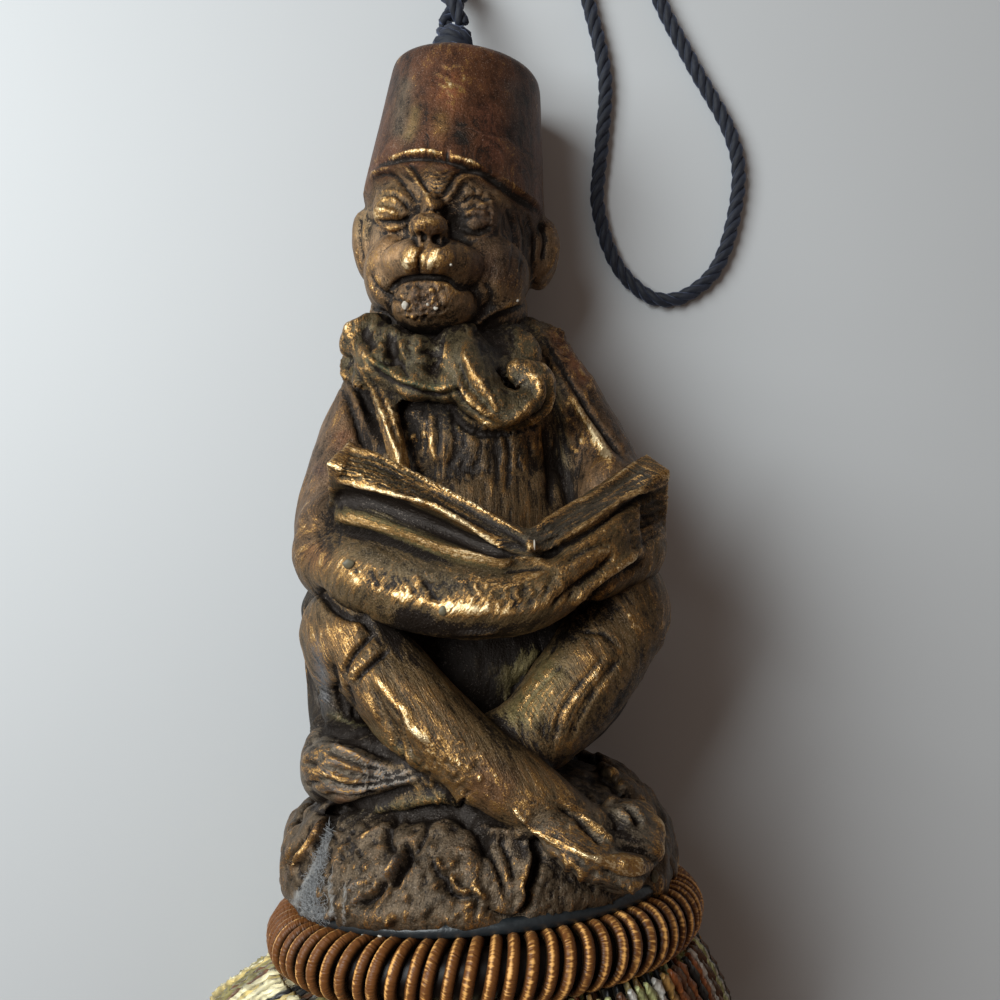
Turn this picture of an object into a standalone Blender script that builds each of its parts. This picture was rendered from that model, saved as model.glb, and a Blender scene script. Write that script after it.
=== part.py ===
"""Curtain tieback tassel, lying on its back.

A cast head (a seated monkey in a fez that reads a book, on a leafy mound), a ring of
wound gimp, a skirt of bullion fringe, and a hanging loop of twisted cord with its knot.

The head and the ring are modelled upright, in millimetres: X to the viewer's right,
-Y to the viewer, Z up the axis from the middle of the ring. An empty then lays them
down, so that +Y of the world runs towards the hat. Skirt and cord are modelled as they
lie. The world's origin is under the middle of the object, on the surface it lies on.
"""
import math
from collections import namedtuple

import bmesh
import bpy
from mathutils import Euler, Matrix, Vector

MM = 0.001
GAP = 0.3                       # between pieces that touch, mm

# Laid down: the hat's back and the ring's back both touch the surface.
LAY_TILT_DEG = 8.5
RING_MAJOR = 26.5
RING_TUBE = 4.5
AXIS_HEIGHT = RING_MAJOR * math.cos(math.radians(LAY_TILT_DEG)) + RING_TUBE

# Gimp ring
RING_DROP = -1.2                # its centre, below the foot of the mound
RING_SKEW_DEG = 2.5             # it was glued on a little askew
RING_TURNS = 94
TURN_RISE = 0.22                # a turn stands this much above and the gap this much below

# Bullion fringe
BACKING_INNER = 18.4
BACKING_OUTER = 25.8
RING_SIDES = 6
BACKING_TOP = -(RING_TUBE * math.sin(math.radians(60)) + GAP)   # seated under the ring
BACKING_THICK = 2.8
STRAND_THICK = 1.9
STRAND_STEPS = 5
SKIRT_LENGTH = 104.0
LENGTH_SPREAD = 5.0

# Cord and knot
CORD_THICK = 2.6
PLY_RADIUS = 1.5
PLY_PITCH = 15.0
TWISTED_REACH = 15.0
KNOT_CENTRE = (-2.1, 0.4, 133.8)
KNOT_RADII = (3.4, 3.3, 3.1)
KNOT_HALF = 3.75                # with its turns, to where the cord comes out

# The casting
HEAD_VOXEL = 0.8
HEAD_KEEP = 0.048
RUFF_PLEATS = 11
RUFF_CENTRE = (-3.6, -0.3)
RUFF_THICK = 1.9
FINGERS = 4
TOES = 4

Ball = namedtuple("Ball", "name centre radii turn")
Limb = namedtuple("Limb", "name stations")
Half = namedtuple("Half", "name outer height thick thin")
Section = namedtuple("Section", "x y z radius lean_x lean_y")
Layer = namedtuple("Layer", "count root_radius share lift")
Stop = namedtuple("Stop", "x y z")
Finish = namedtuple("Finish", "colour roughness metallic")

BODY = (
    Ball("hips", (1, 4, 34), (22.5, 15, 16), (0, 0, 0)),
    Ball("belly", (-1, 1, 52), (18.5, 14.5, 18), (0, 0, 0)),
    Ball("chest", (-2, 1, 67), (16.5, 13, 17), (0, 0, 0)),
    Ball("neck", (-3, 0, 82), (10, 9.5, 9), (0, 0, 0)),
    Ball("skull", (-3.2, 0.3, 97.5), (13.0, 12.6, 14.5), (0, 0, 0)),
    Ball("jaw", (-3.6, -1.0, 88), (12.2, 11.3, 8.5), (0, 0, 0)),
    Ball("brow", (-4.6, -7.2, 102.2), (10.0, 5.5, 4.4), (0, 6, 0)),
    Ball("cheek_left", (-11.4, -7.2, 91.8), (4.5, 5.4, 6.2), (0, 0, 0)),
    Ball("cheek_right", (2.4, -7.4, 91.2), (6.4, 5.8, 6.2), (0, 0, 0)),
    Ball("muzzle", (-5.2, -11.2, 91.2), (7.8, 6.7, 4.1), (0, 6, 0)),
    Ball("lip_left", (-7.1, -16.2, 90.9), (2.4, 2.2, 2.3), (0, 8, 0)),
    Ball("lip_right", (-3.8, -16.4, 90.7), (2.4, 2.2, 2.3), (0, -8, 0)),
    Ball("chin", (-5.2, -11.0, 85.6), (6.2, 5.3, 3.8), (0, 0, 0)),
    Ball("nose", (-5.5, -16.7, 95.1), (2.8, 2.4, 2.1), (0, 0, 0)),
    Ball("nose_bridge", (-5.2, -12.8, 98.8), (1.8, 2.1, 3.0), (0, 0, 0)),
    Ball("lid_left", (-10.1, -10.4, 100.9), (3.2, 2.6, 2.3), (0, 0, 0)),
    Ball("lid_right", (0.5, -10.8, 99.4), (3.4, 2.6, 2.3), (0, 0, 0)),
    Ball("ear_left", (-16.4, 1.5, 100.2), (2.4, 4.0, 6.2), (0, -10, 20)),
    Ball("ear_right", (11.6, 1.5, 99.2), (2.7, 4.2, 6.6), (0, 12, -20)),
    Ball("elbow_left", (-19.8, -8, 52), (6.0, 7, 8), (0, 0, 0)),
    Ball("elbow_right", (19.6, -6, 57), (5.6, 7, 8), (0, 0, 0)),
    Ball("knee_left", (-18.0, -11, 39.5), (6.4, 8, 7.0), (0, 0, 0)),
    Ball("knee_right", (20.0, -9, 42.0), (6.6, 8.5, 8.0), (0, 0, 0)),
    Ball("sole_left", (-15.2, -12.4, 21.4), (8.6, 6.2, 5.2), (0, 10, 16)),
    Ball("toes_left", (-20.6, -9.2, 21.8), (4.0, 5.4, 5.4), (0, 0, 0)),
    Ball("foot_right", (12.0, -21.2, 13.8), (9.6, 4.6, 4.2), (0, 36, -8)),
)
LIMBS = (
    Limb("arm_left", ((-14.5, 1, 77.5, 5.4), (-18.0, -1, 68, 5.8), (-19.9, -4, 58, 6.2),
                      (-19.6, -9, 50.5, 6.2))),
    Limb("arm_right", ((10.5, 1, 80.0, 5.4), (14.7, -0.5, 72, 5.7), (18.2, -3, 63.5, 5.8),
                       (20.2, -8, 55.5, 5.3))),
    Limb("forearm_left", ((-19.3, -10, 49.5, 5.9), (-12, -17.2, 46, 5.6),
                          (-2, -21.4, 43.2, 5.2), (7, -22.6, 43.4, 4.6),
                          (13.5, -21.6, 46.6, 3.5))),
    Limb("forearm_right", ((21.0, -8, 54, 5.2), (21.0, -13, 49.5, 4.9),
                           (15.5, -18.5, 46.5, 4.0))),
    Limb("thigh_left", ((-8, 3, 36, 9), (-17.7, -10, 39.5, 6.8))),
    Limb("thigh_right", ((8, 3, 36, 9), (19.6, -8, 41.5, 7.4))),
    Limb("shin_left", ((-15.8, -14, 38.0, 5.9), (-8.8, -18.4, 30.4, 5.6),
                       (-0.8, -20.8, 23.7, 4.9), (6.5, -21.5, 18.4, 4.5),
                       (12, -21.5, 14.2, 4.1))),
    Limb("shin_right", ((19.2, -11, 39.5, 6.6), (13.2, -14.5, 31.8, 6.4),
                        (6.5, -16, 25.5, 5.4), (-3, -16.5, 22.2, 4.6),
                        (-12, -14, 20.8, 4.6))),
    Limb("curl", ((-1.6, -9.5, 80.0, 3.6), (-0.6, -13.4, 75.6, 4.0),
                  (1.4, -15.8, 71.0, 3.3), (4.8, -16.3, 68.6, 2.7),
                  (8.6, -15.4, 69.8, 2.5), (9.2, -14.8, 73.2, 2.3), (6.8, -15.0, 74.4, 1.9))),
    Limb("lapel_left", ((-13.5, -6.0, 80.5, 1.6), (-12.8, -10.4, 73.5, 1.7),
                        (-11.0, -12.8, 66.0, 1.5), (-9.6, -13.6, 60.0, 1.3))),
    Limb("cuff_left", ((-20.6, -12.4, 34.6, 2.0), (-16.0, -17.6, 34.0, 2.0),
                       (-11.4, -19.2, 36.6, 1.8))),
)
# The open book, as the top edge of each half from its outer end to the spine. It leans
# out towards the viewer, so that the page ends and the covers both show, and it is
# thicker at its outer ends, where the pages fan.
BOOK_SPINE = (7.0, -25.0, 50.2)
BOOK_LEAN = (0.0, -0.78, 0.62)
BOOK = (
    Half("left", (-16.8, -20.0, 62.6), 13.0, 5.4, 3.0),
    Half("right", (24.0, -18.6, 60.4), 12.5, 4.8, 3.0),
)
# The hat leans back and to the viewer's right, and its brim dips on that side.
HAT = (
    Section(-2.6, 0.9, 99.0, 12.6, 0, 0),
    Section(-2.6, 0.6, 104.6, 14.3, -6.0, 9.5),
    Section(-2.6, 0.6, 105.0, 14.6, -6.0, 9.5),
    Section(-2.55, 0.6, 105.9, 14.5, -6.0, 9.5),
    Section(-1.3, 0.5, 117.0, 13.2, 2.0, 8.8),
    Section(-0.2, 0.3, 126.6, 12.1, 9.0, 8.4),
    Section(-0.1, 0.3, 128.0, 11.8, 9.0, 8.4),
    Section(0.0, 0.3, 128.9, 11.0, 9.0, 8.4),
    Section(0.0, 0.3, 129.3, 9.6, 9.0, 8.4),
    Section(0.0, 0.3, 129.5, 6.0, 9.0, 8.4),
)
# Radius and height of the mound's outer side above the middle of the ring, from its
# crown down to the hidden foot.
MOUND_CENTRE = (-0.8, 0.0)
MOUND = ((0, 22.7), (9.0, 22.0), (17.5, 19.8), (22.8, 16.8), (25.5, 13.2), (26.8, 9.8),
         (27.1, 7.6), (26.6, 6.2), (24.9, 5.0), (23.2, 4.3), (21.2, 3.2), (21.2, -2.0),
         (0, -2.0))

SKIRT_LAYERS = (
    Layer(count=48, root_radius=24.2, share=1.0, lift=0.0),
    Layer(count=36, root_radius=22.1, share=0.80, lift=2.0),
    Layer(count=22, root_radius=20.1, share=0.56, lift=4.0),
)
SPREAD_LEFT = 25.0
SPREAD_RIGHT = 15.0
PILE_HEIGHT = 9.5

# The loop's route as it lies, from where the twisted pair parts to where it meets again.
LOOP_HEIGHT = CORD_THICK / 2 + 0.05
LOOP_STOPS = (
    Stop(-1.0, 161.0, 1.3), Stop(4.5, 168.5, 1.3), Stop(13.0, 166.0, 1.3),
    Stop(18.5, 156.0, 1.3), Stop(21.0, 144.4, 1.3), Stop(23.6, 131.0, 1.3),
    Stop(22.6, 118.0, 1.3), Stop(21.8, 108.5, 1.3), Stop(25.3, 97.5, 1.3),
    Stop(33.0, 91.9, 1.3), Stop(41.8, 97.0, 1.3), Stop(46.0, 110.0, 1.3),
    Stop(45.2, 120.0, 1.3), Stop(38.4, 133.5, 1.3), Stop(32.6, 146.0, 1.3),
    Stop(28.0, 163.0, 1.3), Stop(17.0, 176.5, 1.3), Stop(3.0, 178.5, 1.3),
    Stop(-4.6, 170.0, 1.3),
)
CORD_POINTS = 72

FINISHES = {
    "cast_figure": Finish((0.30, 0.19, 0.08), 0.38, 0.55),
    "gimp_ring": Finish((0.20, 0.075, 0.02), 0.42, 0.0),
    "fringe_skirt": Finish((0.35, 0.26, 0.11), 0.55, 0.0),
    "top_knot": Finish((0.012, 0.013, 0.018), 0.75, 0.0),
    "hanging_loop": Finish((0.012, 0.013, 0.018), 0.75, 0.0),
}


def clear_scene():
    for obj in list(bpy.data.objects):
        bpy.data.objects.remove(obj, do_unlink=True)


def add_collection(name):
    collection = bpy.data.collections.new(name)
    bpy.context.scene.collection.children.link(collection)
    return collection


def add_object(name, data, collection, parent=None):
    obj = bpy.data.objects.new(name, data)
    collection.objects.link(obj)
    obj.parent = parent
    return obj


def add_finish(obj):
    look = FINISHES[obj.name]
    material = bpy.data.materials.new(f"{obj.name}_finish")
    material.use_nodes = True
    shader = material.node_tree.nodes["Principled BSDF"]
    shader.inputs["Base Color"].default_value = (*look.colour, 1.0)
    shader.inputs["Roughness"].default_value = look.roughness
    shader.inputs["Metallic"].default_value = look.metallic
    obj.data.materials.append(material)


def turned_by(degrees):
    return Euler([math.radians(angle) for angle in degrees]).to_matrix().to_4x4()


def ball_object(ball, collection, segments=24, rings=14):
    mesh = bpy.data.meshes.new(ball.name)
    shape = bmesh.new()
    size = Matrix.Diagonal((*[radius * MM for radius in ball.radii], 1))
    bmesh.ops.create_uvsphere(shape, u_segments=segments, v_segments=rings, radius=1.0,
                              matrix=Matrix.Translation(Vector(ball.centre) * MM)
                              @ turned_by(ball.turn) @ size)
    shape.to_mesh(mesh)
    shape.free()
    return add_object(ball.name, mesh, collection)


def book_half_object(half, collection):
    """A board that hangs from the half's top edge along the lean of the spine."""
    outer, spine = Vector(half.outer), Vector(BOOK_SPINE)
    along = (spine - outer).normalized()
    lean = Vector(BOOK_LEAN)
    up = (lean - along * lean.dot(along)).normalized()
    frame = Matrix((along, up.cross(along), up)).transposed().to_4x4()
    middle = (outer + spine) / 2 - up * half.height / 2
    size = ((spine - outer).length + 2.0, half.thick, half.height)
    mesh = bpy.data.meshes.new(f"book_{half.name}")
    shape = bmesh.new()
    for corner in bmesh.ops.create_cube(shape, size=1.0)["verts"]:
        if corner.co.x > 0:
            corner.co.y *= half.thin / half.thick
    bmesh.ops.transform(shape, verts=shape.verts, matrix=Matrix.Translation(middle * MM)
                        @ frame @ Matrix.Diagonal((*[side * MM for side in size], 1)))
    shape.to_mesh(mesh)
    shape.free()
    return add_object(f"book_{half.name}", mesh, collection)


def limb_objects(limb, collection):
    """A round limb that swells and thins along its stations, with a ball at each end."""
    curve = bpy.data.curves.new(limb.name, "CURVE")
    curve.dimensions = "3D"
    curve.bevel_depth = MM
    curve.bevel_resolution = 4
    curve.use_fill_caps = True
    curve.resolution_u = 6
    spline = curve.splines.new("BEZIER")
    spline.bezier_points.add(len(limb.stations) - 1)
    for point, (x, y, z, radius) in zip(spline.bezier_points, limb.stations):
        point.co = Vector((x, y, z)) * MM
        point.radius = radius
        point.handle_left_type = point.handle_right_type = "AUTO"
    made = [add_object(limb.name, curve, collection)]
    for x, y, z, radius in (limb.stations[0], limb.stations[-1]):
        end = Ball(f"{limb.name}_end", (x, y, z), (radius,) * 3, (0, 0, 0))
        made.append(ball_object(end, collection))
    return made


def hat_object(collection, sides=48):
    """A loft between tilted rings: no turned profile gives a hat that leans two ways."""
    shape = bmesh.new()
    rings = []
    for at in HAT:
        frame = Matrix.Translation(Vector((at.x, at.y, at.z)) * MM)
        frame @= turned_by((at.lean_x, at.lean_y, 0))
        turns = [2 * math.pi * k / sides for k in range(sides)]
        rings.append([shape.verts.new(frame @ (Vector((math.cos(a), math.sin(a), 0))
                                               * at.radius * MM)) for a in turns])
    for low, high in zip(rings, rings[1:]):
        for k in range(sides):
            j = (k + 1) % sides
            shape.faces.new((low[k], low[j], high[j], high[k]))
    shape.faces.new(reversed(rings[0]))
    shape.faces.new(rings[-1])
    mesh = bpy.data.meshes.new("hat")
    shape.to_mesh(mesh)
    shape.free()
    return add_object("hat", mesh, collection)


def mound_object(collection):
    """The mound sits square in the ring, so it shares the ring's skew."""
    mesh = bpy.data.meshes.new("mound")
    shape = bmesh.new()
    points = [shape.verts.new((radius * MM, 0, height * MM)) for radius, height in MOUND]
    for one, two in zip(points, points[1:]):
        shape.edges.new((one, two))
    shape.to_mesh(mesh)
    shape.free()
    obj = add_object("mound", mesh, collection)
    obj.location = (MOUND_CENTRE[0] * MM, MOUND_CENTRE[1] * MM, RING_DROP * MM)
    obj.rotation_euler = (0, -math.radians(RING_SKEW_DEG), 0)
    screw = obj.modifiers.new("turn", "SCREW")
    screw.steps = screw.render_steps = 48
    screw.use_merge_vertices = True
    screw.merge_threshold = 1e-5
    return obj


def ruff_place(turn, out, under):
    """A point of the pleated collar: out runs from 0 at the neck to 1 at its ragged rim."""
    front = max(0.0, -math.sin(turn)) ** 1.3
    pleat = math.cos(RUFF_PLEATS * turn + 0.9)
    ragged = 1.0 + out * (0.10 * pleat + 0.05 * math.sin(5 * turn + 1.0))
    reach = (8.5 + 8.0 * out) * ragged
    height = 87.5 - 3.5 * front + 1.4 * math.cos(turn)
    height -= out * (3.4 + 5.4 * front) + out * out * 1.2 - 0.75 * out * pleat
    return Vector((RUFF_CENTRE[0] + reach * math.cos(turn) * 1.0,
                   RUFF_CENTRE[1] + reach * math.sin(turn) * (0.92 - 0.06 * front),
                   height - (RUFF_THICK if under else 0.0)))


def ruff_object(collection, sides=132, rings=4):
    """A loft: the collar's upper face outwards and its lower face back."""
    shape = bmesh.new()
    loops = []
    order = [(k / (rings - 1), False) for k in range(rings)]
    order += [(1 - k / (rings - 1), True) for k in range(rings)]
    for out, under in order:
        loops.append([shape.verts.new(ruff_place(2 * math.pi * k / sides, out, under) * MM)
                      for k in range(sides)])
    for one, two in zip(loops, loops[1:] + loops[:1]):
        for k in range(sides):
            j = (k + 1) % sides
            shape.faces.new((one[k], two[k], two[j], one[j]))
    bmesh.ops.recalc_face_normals(shape, faces=shape.faces)
    mesh = bpy.data.meshes.new("ruff")
    shape.to_mesh(mesh)
    shape.free()
    return add_object("ruff", mesh, collection)


def digit_limbs():
    for k in range(FINGERS):
        height = 44.4 + 2.0 * k
        yield Limb(f"finger_{k}", ((11.5, -23.0, height - 1.0, 1.8),
                                   (16.2, -22.0, height + 1.6, 1.7),
                                   (20.6, -19.2, height + 4.6, 1.4)))
    for k in range(TOES):
        share = k / (TOES - 1)
        tip = Vector((19.4, -18.0, 13.2)).lerp(Vector((16.0, -23.2, 8.2)), share)
        tip.x += 1.6 * math.sin(math.pi * share)
        root = Vector((11.8, -21.0, 13.4))
        bend = root.lerp(tip, 0.55) + Vector((0.3, -0.9, 0.4))
        yield Limb(f"toe_{k}", ((*root, 2.6), (*bend, 2.2), (*tip, 2.0 + 0.1 * k)))
    yield Limb("great_toe", ((8, -23.3, 15.6, 2.6), (12.5, -25.4, 12.2, 2.5),
                             (17.2, -25.0, 9.9, 2.2)))


def joined(name, objects, collection):
    """The objects as one mesh object. Curves and modifiers are applied on the way."""
    bpy.context.view_layer.update()
    graph = bpy.context.evaluated_depsgraph_get()
    whole = bmesh.new()
    parts = []
    for obj in objects:
        mesh = bpy.data.meshes.new_from_object(obj.evaluated_get(graph))
        mesh.transform(obj.matrix_world)
        parts.append(mesh)
    for mesh in parts:
        whole.from_mesh(mesh)
    mesh = bpy.data.meshes.new(name)
    whole.to_mesh(mesh)
    whole.free()
    for obj in objects:
        bpy.data.objects.remove(obj, do_unlink=True)
    for part in parts:
        bpy.data.meshes.remove(part)
    return add_object(name, mesh, collection)


def fuse(obj, voxel, smoothing, keep):
    """One skin over all the shapes of a mesh, softened and thinned."""
    remesh = obj.modifiers.new("fuse", "REMESH")
    remesh.mode = "VOXEL"
    remesh.voxel_size = voxel * MM
    soften = obj.modifiers.new("soften", "SMOOTH")
    soften.factor = 0.5
    soften.iterations = smoothing
    thin = obj.modifiers.new("thin", "DECIMATE")
    thin.ratio = keep
    thin.use_collapse_triangulate = True


def flatten_back(obj):
    """Levels the hat's back where it meets the surface, so that it rests flat."""
    bpy.context.view_layer.update()
    graph = bpy.context.evaluated_depsgraph_get()
    mesh = bpy.data.meshes.new_from_object(obj.evaluated_get(graph))
    shape = bmesh.new()
    shape.from_mesh(mesh)
    back = obj.matrix_world.inverted()
    place = back @ Vector((0, 0, 0))
    normal = (back.to_3x3() @ Vector((0, 0, 1))).normalized()
    cut = bmesh.ops.bisect_plane(shape, geom=shape.verts[:] + shape.edges[:] + shape.faces[:],
                                 plane_co=place, plane_no=normal, clear_inner=True)
    rim = [item for item in cut["geom_cut"] if isinstance(item, bmesh.types.BMEdge)]
    bmesh.ops.contextual_create(shape, geom=rim)
    bmesh.ops.triangulate(shape, faces=shape.faces[:])
    shape.to_mesh(mesh)
    shape.free()
    obj.modifiers.clear()
    obj.data = mesh


def build_figure(collection, axis):
    shapes = [ball_object(ball, collection) for ball in BODY]
    for limb in (*LIMBS, *digit_limbs()):
        shapes += limb_objects(limb, collection)
    shapes += [book_half_object(half, collection) for half in BOOK]
    shapes += [hat_object(collection), ruff_object(collection), mound_object(collection)]
    figure = joined("cast_figure", shapes, collection)
    figure.parent = axis
    fuse(figure, HEAD_VOXEL, 3, HEAD_KEEP)
    flatten_back(figure)
    return figure


def build_gimp_ring(collection, ring_frame):
    """The wound turns stand up as ribs: every other ring of the torus is raised."""
    shape = bmesh.new()
    around, across = RING_TURNS * 2, RING_SIDES
    rings = []
    for k in range(around):
        turn = 2 * math.pi * k / around
        tube = RING_TUBE - TURN_RISE + (TURN_RISE if k % 2 else -TURN_RISE)
        ring = []
        for j in range(across):
            side = 2 * math.pi * j / across
            reach = RING_MAJOR + tube * math.cos(side)
            ring.append(shape.verts.new((reach * math.cos(turn) * MM, reach * math.sin(turn) * MM,
                                         tube * math.sin(side) * MM)))
        rings.append(ring)
    for k in range(around):
        near, far = rings[k], rings[(k + 1) % around]
        for j in range(across):
            i = (j + 1) % across
            shape.faces.new((near[j], far[j], far[i], near[i]))
    mesh = bpy.data.meshes.new("gimp_ring")
    shape.to_mesh(mesh)
    shape.free()
    return add_object("gimp_ring", mesh, collection, ring_frame)


def ease(value):
    value = min(max(value, 0.0), 1.0)
    return value * value * (3 - 2 * value)


def strand_route(layer, k):
    """Where one strand lies, as points in millimetres, from its root in the backing."""
    turn = 2 * math.pi * (k + 0.5) / layer.count
    side, rise = math.cos(turn), math.sin(turn)
    level = 1 - 2 * abs(math.remainder(turn, 2 * math.pi)) / math.pi
    wander = math.sin(12.9898 * k + 78.233 * layer.share)
    length = SKIRT_LENGTH + LENGTH_SPREAD * math.sin(43.758 * k + 11.1 * layer.share)
    skew = math.radians(RING_SKEW_DEG)
    tilt = math.radians(LAY_TILT_DEG)
    rest = STRAND_THICK / 2 + layer.lift
    points = []
    for step in range(STRAND_STEPS + 1):
        along = step / STRAND_STEPS
        run = along * length
        flare = 1 - (1 - along) ** 2.4 if side < 0 else along
        spread = (SPREAD_LEFT if side < 0 else SPREAD_RIGHT) * flare * layer.share
        flat = ease(along / 0.62)
        across = (side * (1 - flat) + level * flat) * (layer.root_radius + spread)
        round_height = AXIS_HEIGHT + layer.root_radius * rise
        if rise < 0:
            round_height += (rest - round_height) * ease(along / 0.3)
            lain = rest
        else:
            hump = math.sqrt(max(0.0, 1 - level * level))
            lain = rest + STRAND_THICK * 1.25 + (PILE_HEIGHT * layer.share - layer.lift) * hump
        height = round_height * (1 - flat) + lain * flat
        start = BACKING_TOP - BACKING_THICK * 0.5 + RING_DROP
        root_y = start * math.cos(tilt) - layer.root_radius * -rise * math.sin(tilt)
        root_y += math.sin(skew) * across
        points.append(Vector((across + 0.5 * wander * along, root_y - run, height)))
    points[0].z = AXIS_HEIGHT - start * math.sin(tilt) + layer.root_radius * rise * math.cos(tilt)
    return points


def backing_object(collection, ring_frame):
    outline = ((BACKING_OUTER, BACKING_TOP), (BACKING_OUTER, BACKING_TOP - BACKING_THICK),
               (BACKING_INNER, BACKING_TOP - BACKING_THICK), (BACKING_INNER, BACKING_TOP))
    mesh = bpy.data.meshes.new("backing")
    shape = bmesh.new()
    points = [shape.verts.new((radius * MM, 0, height * MM)) for radius, height in outline]
    for one, two in zip(points, points[1:] + points[:1]):
        shape.edges.new((one, two))
    shape.to_mesh(mesh)
    shape.free()
    obj = add_object("backing", mesh, collection, ring_frame)
    screw = obj.modifiers.new("turn", "SCREW")
    screw.steps = screw.render_steps = 64
    screw.use_merge_vertices = True
    screw.merge_threshold = 1e-5
    return obj


def build_fringe_skirt(collection, cutters, ring_frame, root):
    curve = bpy.data.curves.new("strands", "CURVE")
    curve.dimensions = "3D"
    curve.bevel_depth = STRAND_THICK / 2 * MM
    curve.bevel_resolution = 0
    curve.use_fill_caps = True
    for layer in SKIRT_LAYERS:
        for k in range(layer.count):
            route = strand_route(layer, k)
            spline = curve.splines.new("POLY")
            spline.points.add(len(route) - 1)
            for point, place in zip(spline.points, route):
                point.co = (*(place * MM), 1)
                point.radius = 1.0
            spline.points[-1].radius = 0.75
    strands = joined("strands", [add_object("strands", curve, cutters)], cutters)
    weld(strands.data)
    strands.hide_render = True
    strands.display_type = "WIRE"
    skirt = joined("fringe_skirt", [backing_object(collection, ring_frame)], collection)
    weld(skirt.data)
    union = skirt.modifiers.new("roots", "BOOLEAN")
    union.operation = "UNION"
    union.object = strands
    union.use_self = True
    whole = joined("fringe_skirt", [skirt], collection)
    drop_slivers(whole.data)
    strands.parent = whole.parent = root
    return whole


def drop_slivers(mesh, least=12):
    """Removes the specks of no volume that a union of many thin shapes can leave."""
    shape = bmesh.new()
    shape.from_mesh(mesh)
    waiting = set(shape.faces)
    while waiting:
        island, edge = set(), [waiting.pop()]
        while edge:
            face = edge.pop()
            island.add(face)
            near = {other for side in face.edges for other in side.link_faces}
            edge += [other for other in near if other in waiting]
            waiting -= near
        if len(island) < least:
            bmesh.ops.delete(shape, geom=list(island), context="FACES")
    shape.to_mesh(mesh)
    shape.free()


def weld(mesh):
    shape = bmesh.new()
    shape.from_mesh(mesh)
    bmesh.ops.remove_doubles(shape, verts=shape.verts, dist=1e-6)
    bmesh.ops.recalc_face_normals(shape, faces=shape.faces)
    shape.to_mesh(mesh)
    shape.free()


def build_top_knot(collection, axis):
    """An overhand knot drawn tight: a round core with two turns of cord over it."""
    x, y, z = KNOT_CENTRE
    core = Ball("core", KNOT_CENTRE, KNOT_RADII, (0, 0, 0))
    shapes = [ball_object(core, collection)]
    for name, lift, lean in (("turn_low", -1.3, 14), ("turn_high", 1.3, -16)):
        stations = []
        for k in range(9):
            turn = 2 * math.pi * k / 8
            place = turned_by((lean, 6, 0)) @ Vector((2.5 * math.cos(turn),
                                                      2.4 * math.sin(turn), 0))
            stations.append((x + place.x, y + place.y, z + lift + place.z, CORD_THICK / 2))
        shapes += limb_objects(Limb(name, tuple(stations)), collection)
    knot = joined("top_knot", shapes, collection)
    knot.parent = axis
    fuse(knot, 0.45, 2, 0.2)
    return knot


def on_smooth_curve(stops, count):
    """Points evenly apart on a smooth curve through the stops (centripetal in effect)."""
    fine = []
    ends = [stops[0] * 2 - stops[1], *stops, stops[-1] * 2 - stops[-2]]
    for a, b, c, d in zip(ends, ends[1:], ends[2:], ends[3:]):
        for step in range(24):
            t = step / 24
            fine.append(0.5 * ((2 * b) + (c - a) * t + (2 * a - 5 * b + 4 * c - d) * t * t
                               + (3 * b - a - 3 * c + d) * t ** 3))
    fine.append(stops[-1])
    reach = [0.0]
    for one, two in zip(fine, fine[1:]):
        reach.append(reach[-1] + (two - one).length)
    points, at = [], 0
    for k in range(count):
        want = reach[-1] * k / (count - 1)
        while at < len(fine) - 2 and reach[at + 1] < want:
            at += 1
        share = (want - reach[at]) / max(reach[at + 1] - reach[at], 1e-9)
        points.append(fine[at].lerp(fine[at + 1], min(max(share, 0.0), 1.0)))
        points[-1].z = max(points[-1].z, LOOP_HEIGHT)
    return points


def twisted_leg(start, phase, steps=9):
    """One cord of the pair that rises twisted from the knot, as it comes down to rest."""
    stops = []
    for step in range(steps + 1):
        along = step / steps
        turn = phase + 2 * math.pi * along * TWISTED_REACH / PLY_PITCH
        down = ease(along)
        height = start.z * (1 - down) + (LOOP_HEIGHT + PLY_RADIUS) * down
        stops.append(Vector((start.x + PLY_RADIUS * math.cos(turn),
                             start.y + along * TWISTED_REACH,
                             height + PLY_RADIUS * math.sin(turn))))
    return stops


def build_hanging_loop(collection, root, axis):
    bpy.context.view_layer.update()
    x, y, z = KNOT_CENTRE
    top = axis.matrix_local @ (Vector((x, y, z + KNOT_HALF + GAP)) * MM) / MM
    out = twisted_leg(top, 0.0)
    home = twisted_leg(top, math.pi)
    stops = out + [Vector(stop) for stop in LOOP_STOPS] + home[::-1]
    curve = bpy.data.curves.new("hanging_loop", "CURVE")
    curve.dimensions = "3D"
    curve.bevel_depth = CORD_THICK / 2 * MM
    curve.bevel_resolution = 2
    curve.use_fill_caps = True
    points = on_smooth_curve(stops, CORD_POINTS)
    spline = curve.splines.new("POLY")
    spline.points.add(len(points) - 1)
    for point, place in zip(spline.points, points):
        point.co = (*(place * MM), 1)
    return add_object("hanging_loop", curve, collection, root)


def settle_on_origin(root, parts):
    """Moves the whole so that the origin is under the middle of the parts, at rest."""
    bpy.context.view_layer.update()
    graph = bpy.context.evaluated_depsgraph_get()
    corners = []
    for obj in parts:
        mesh = obj.evaluated_get(graph).to_mesh()
        corners += [obj.matrix_world @ point.co for point in mesh.vertices]
    low = [min(corner[k] for corner in corners) for k in range(3)]
    high = [max(corner[k] for corner in corners) for k in range(3)]
    root.location = (-(low[0] + high[0]) / 2, -(low[1] + high[1]) / 2, -low[2])


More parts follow.
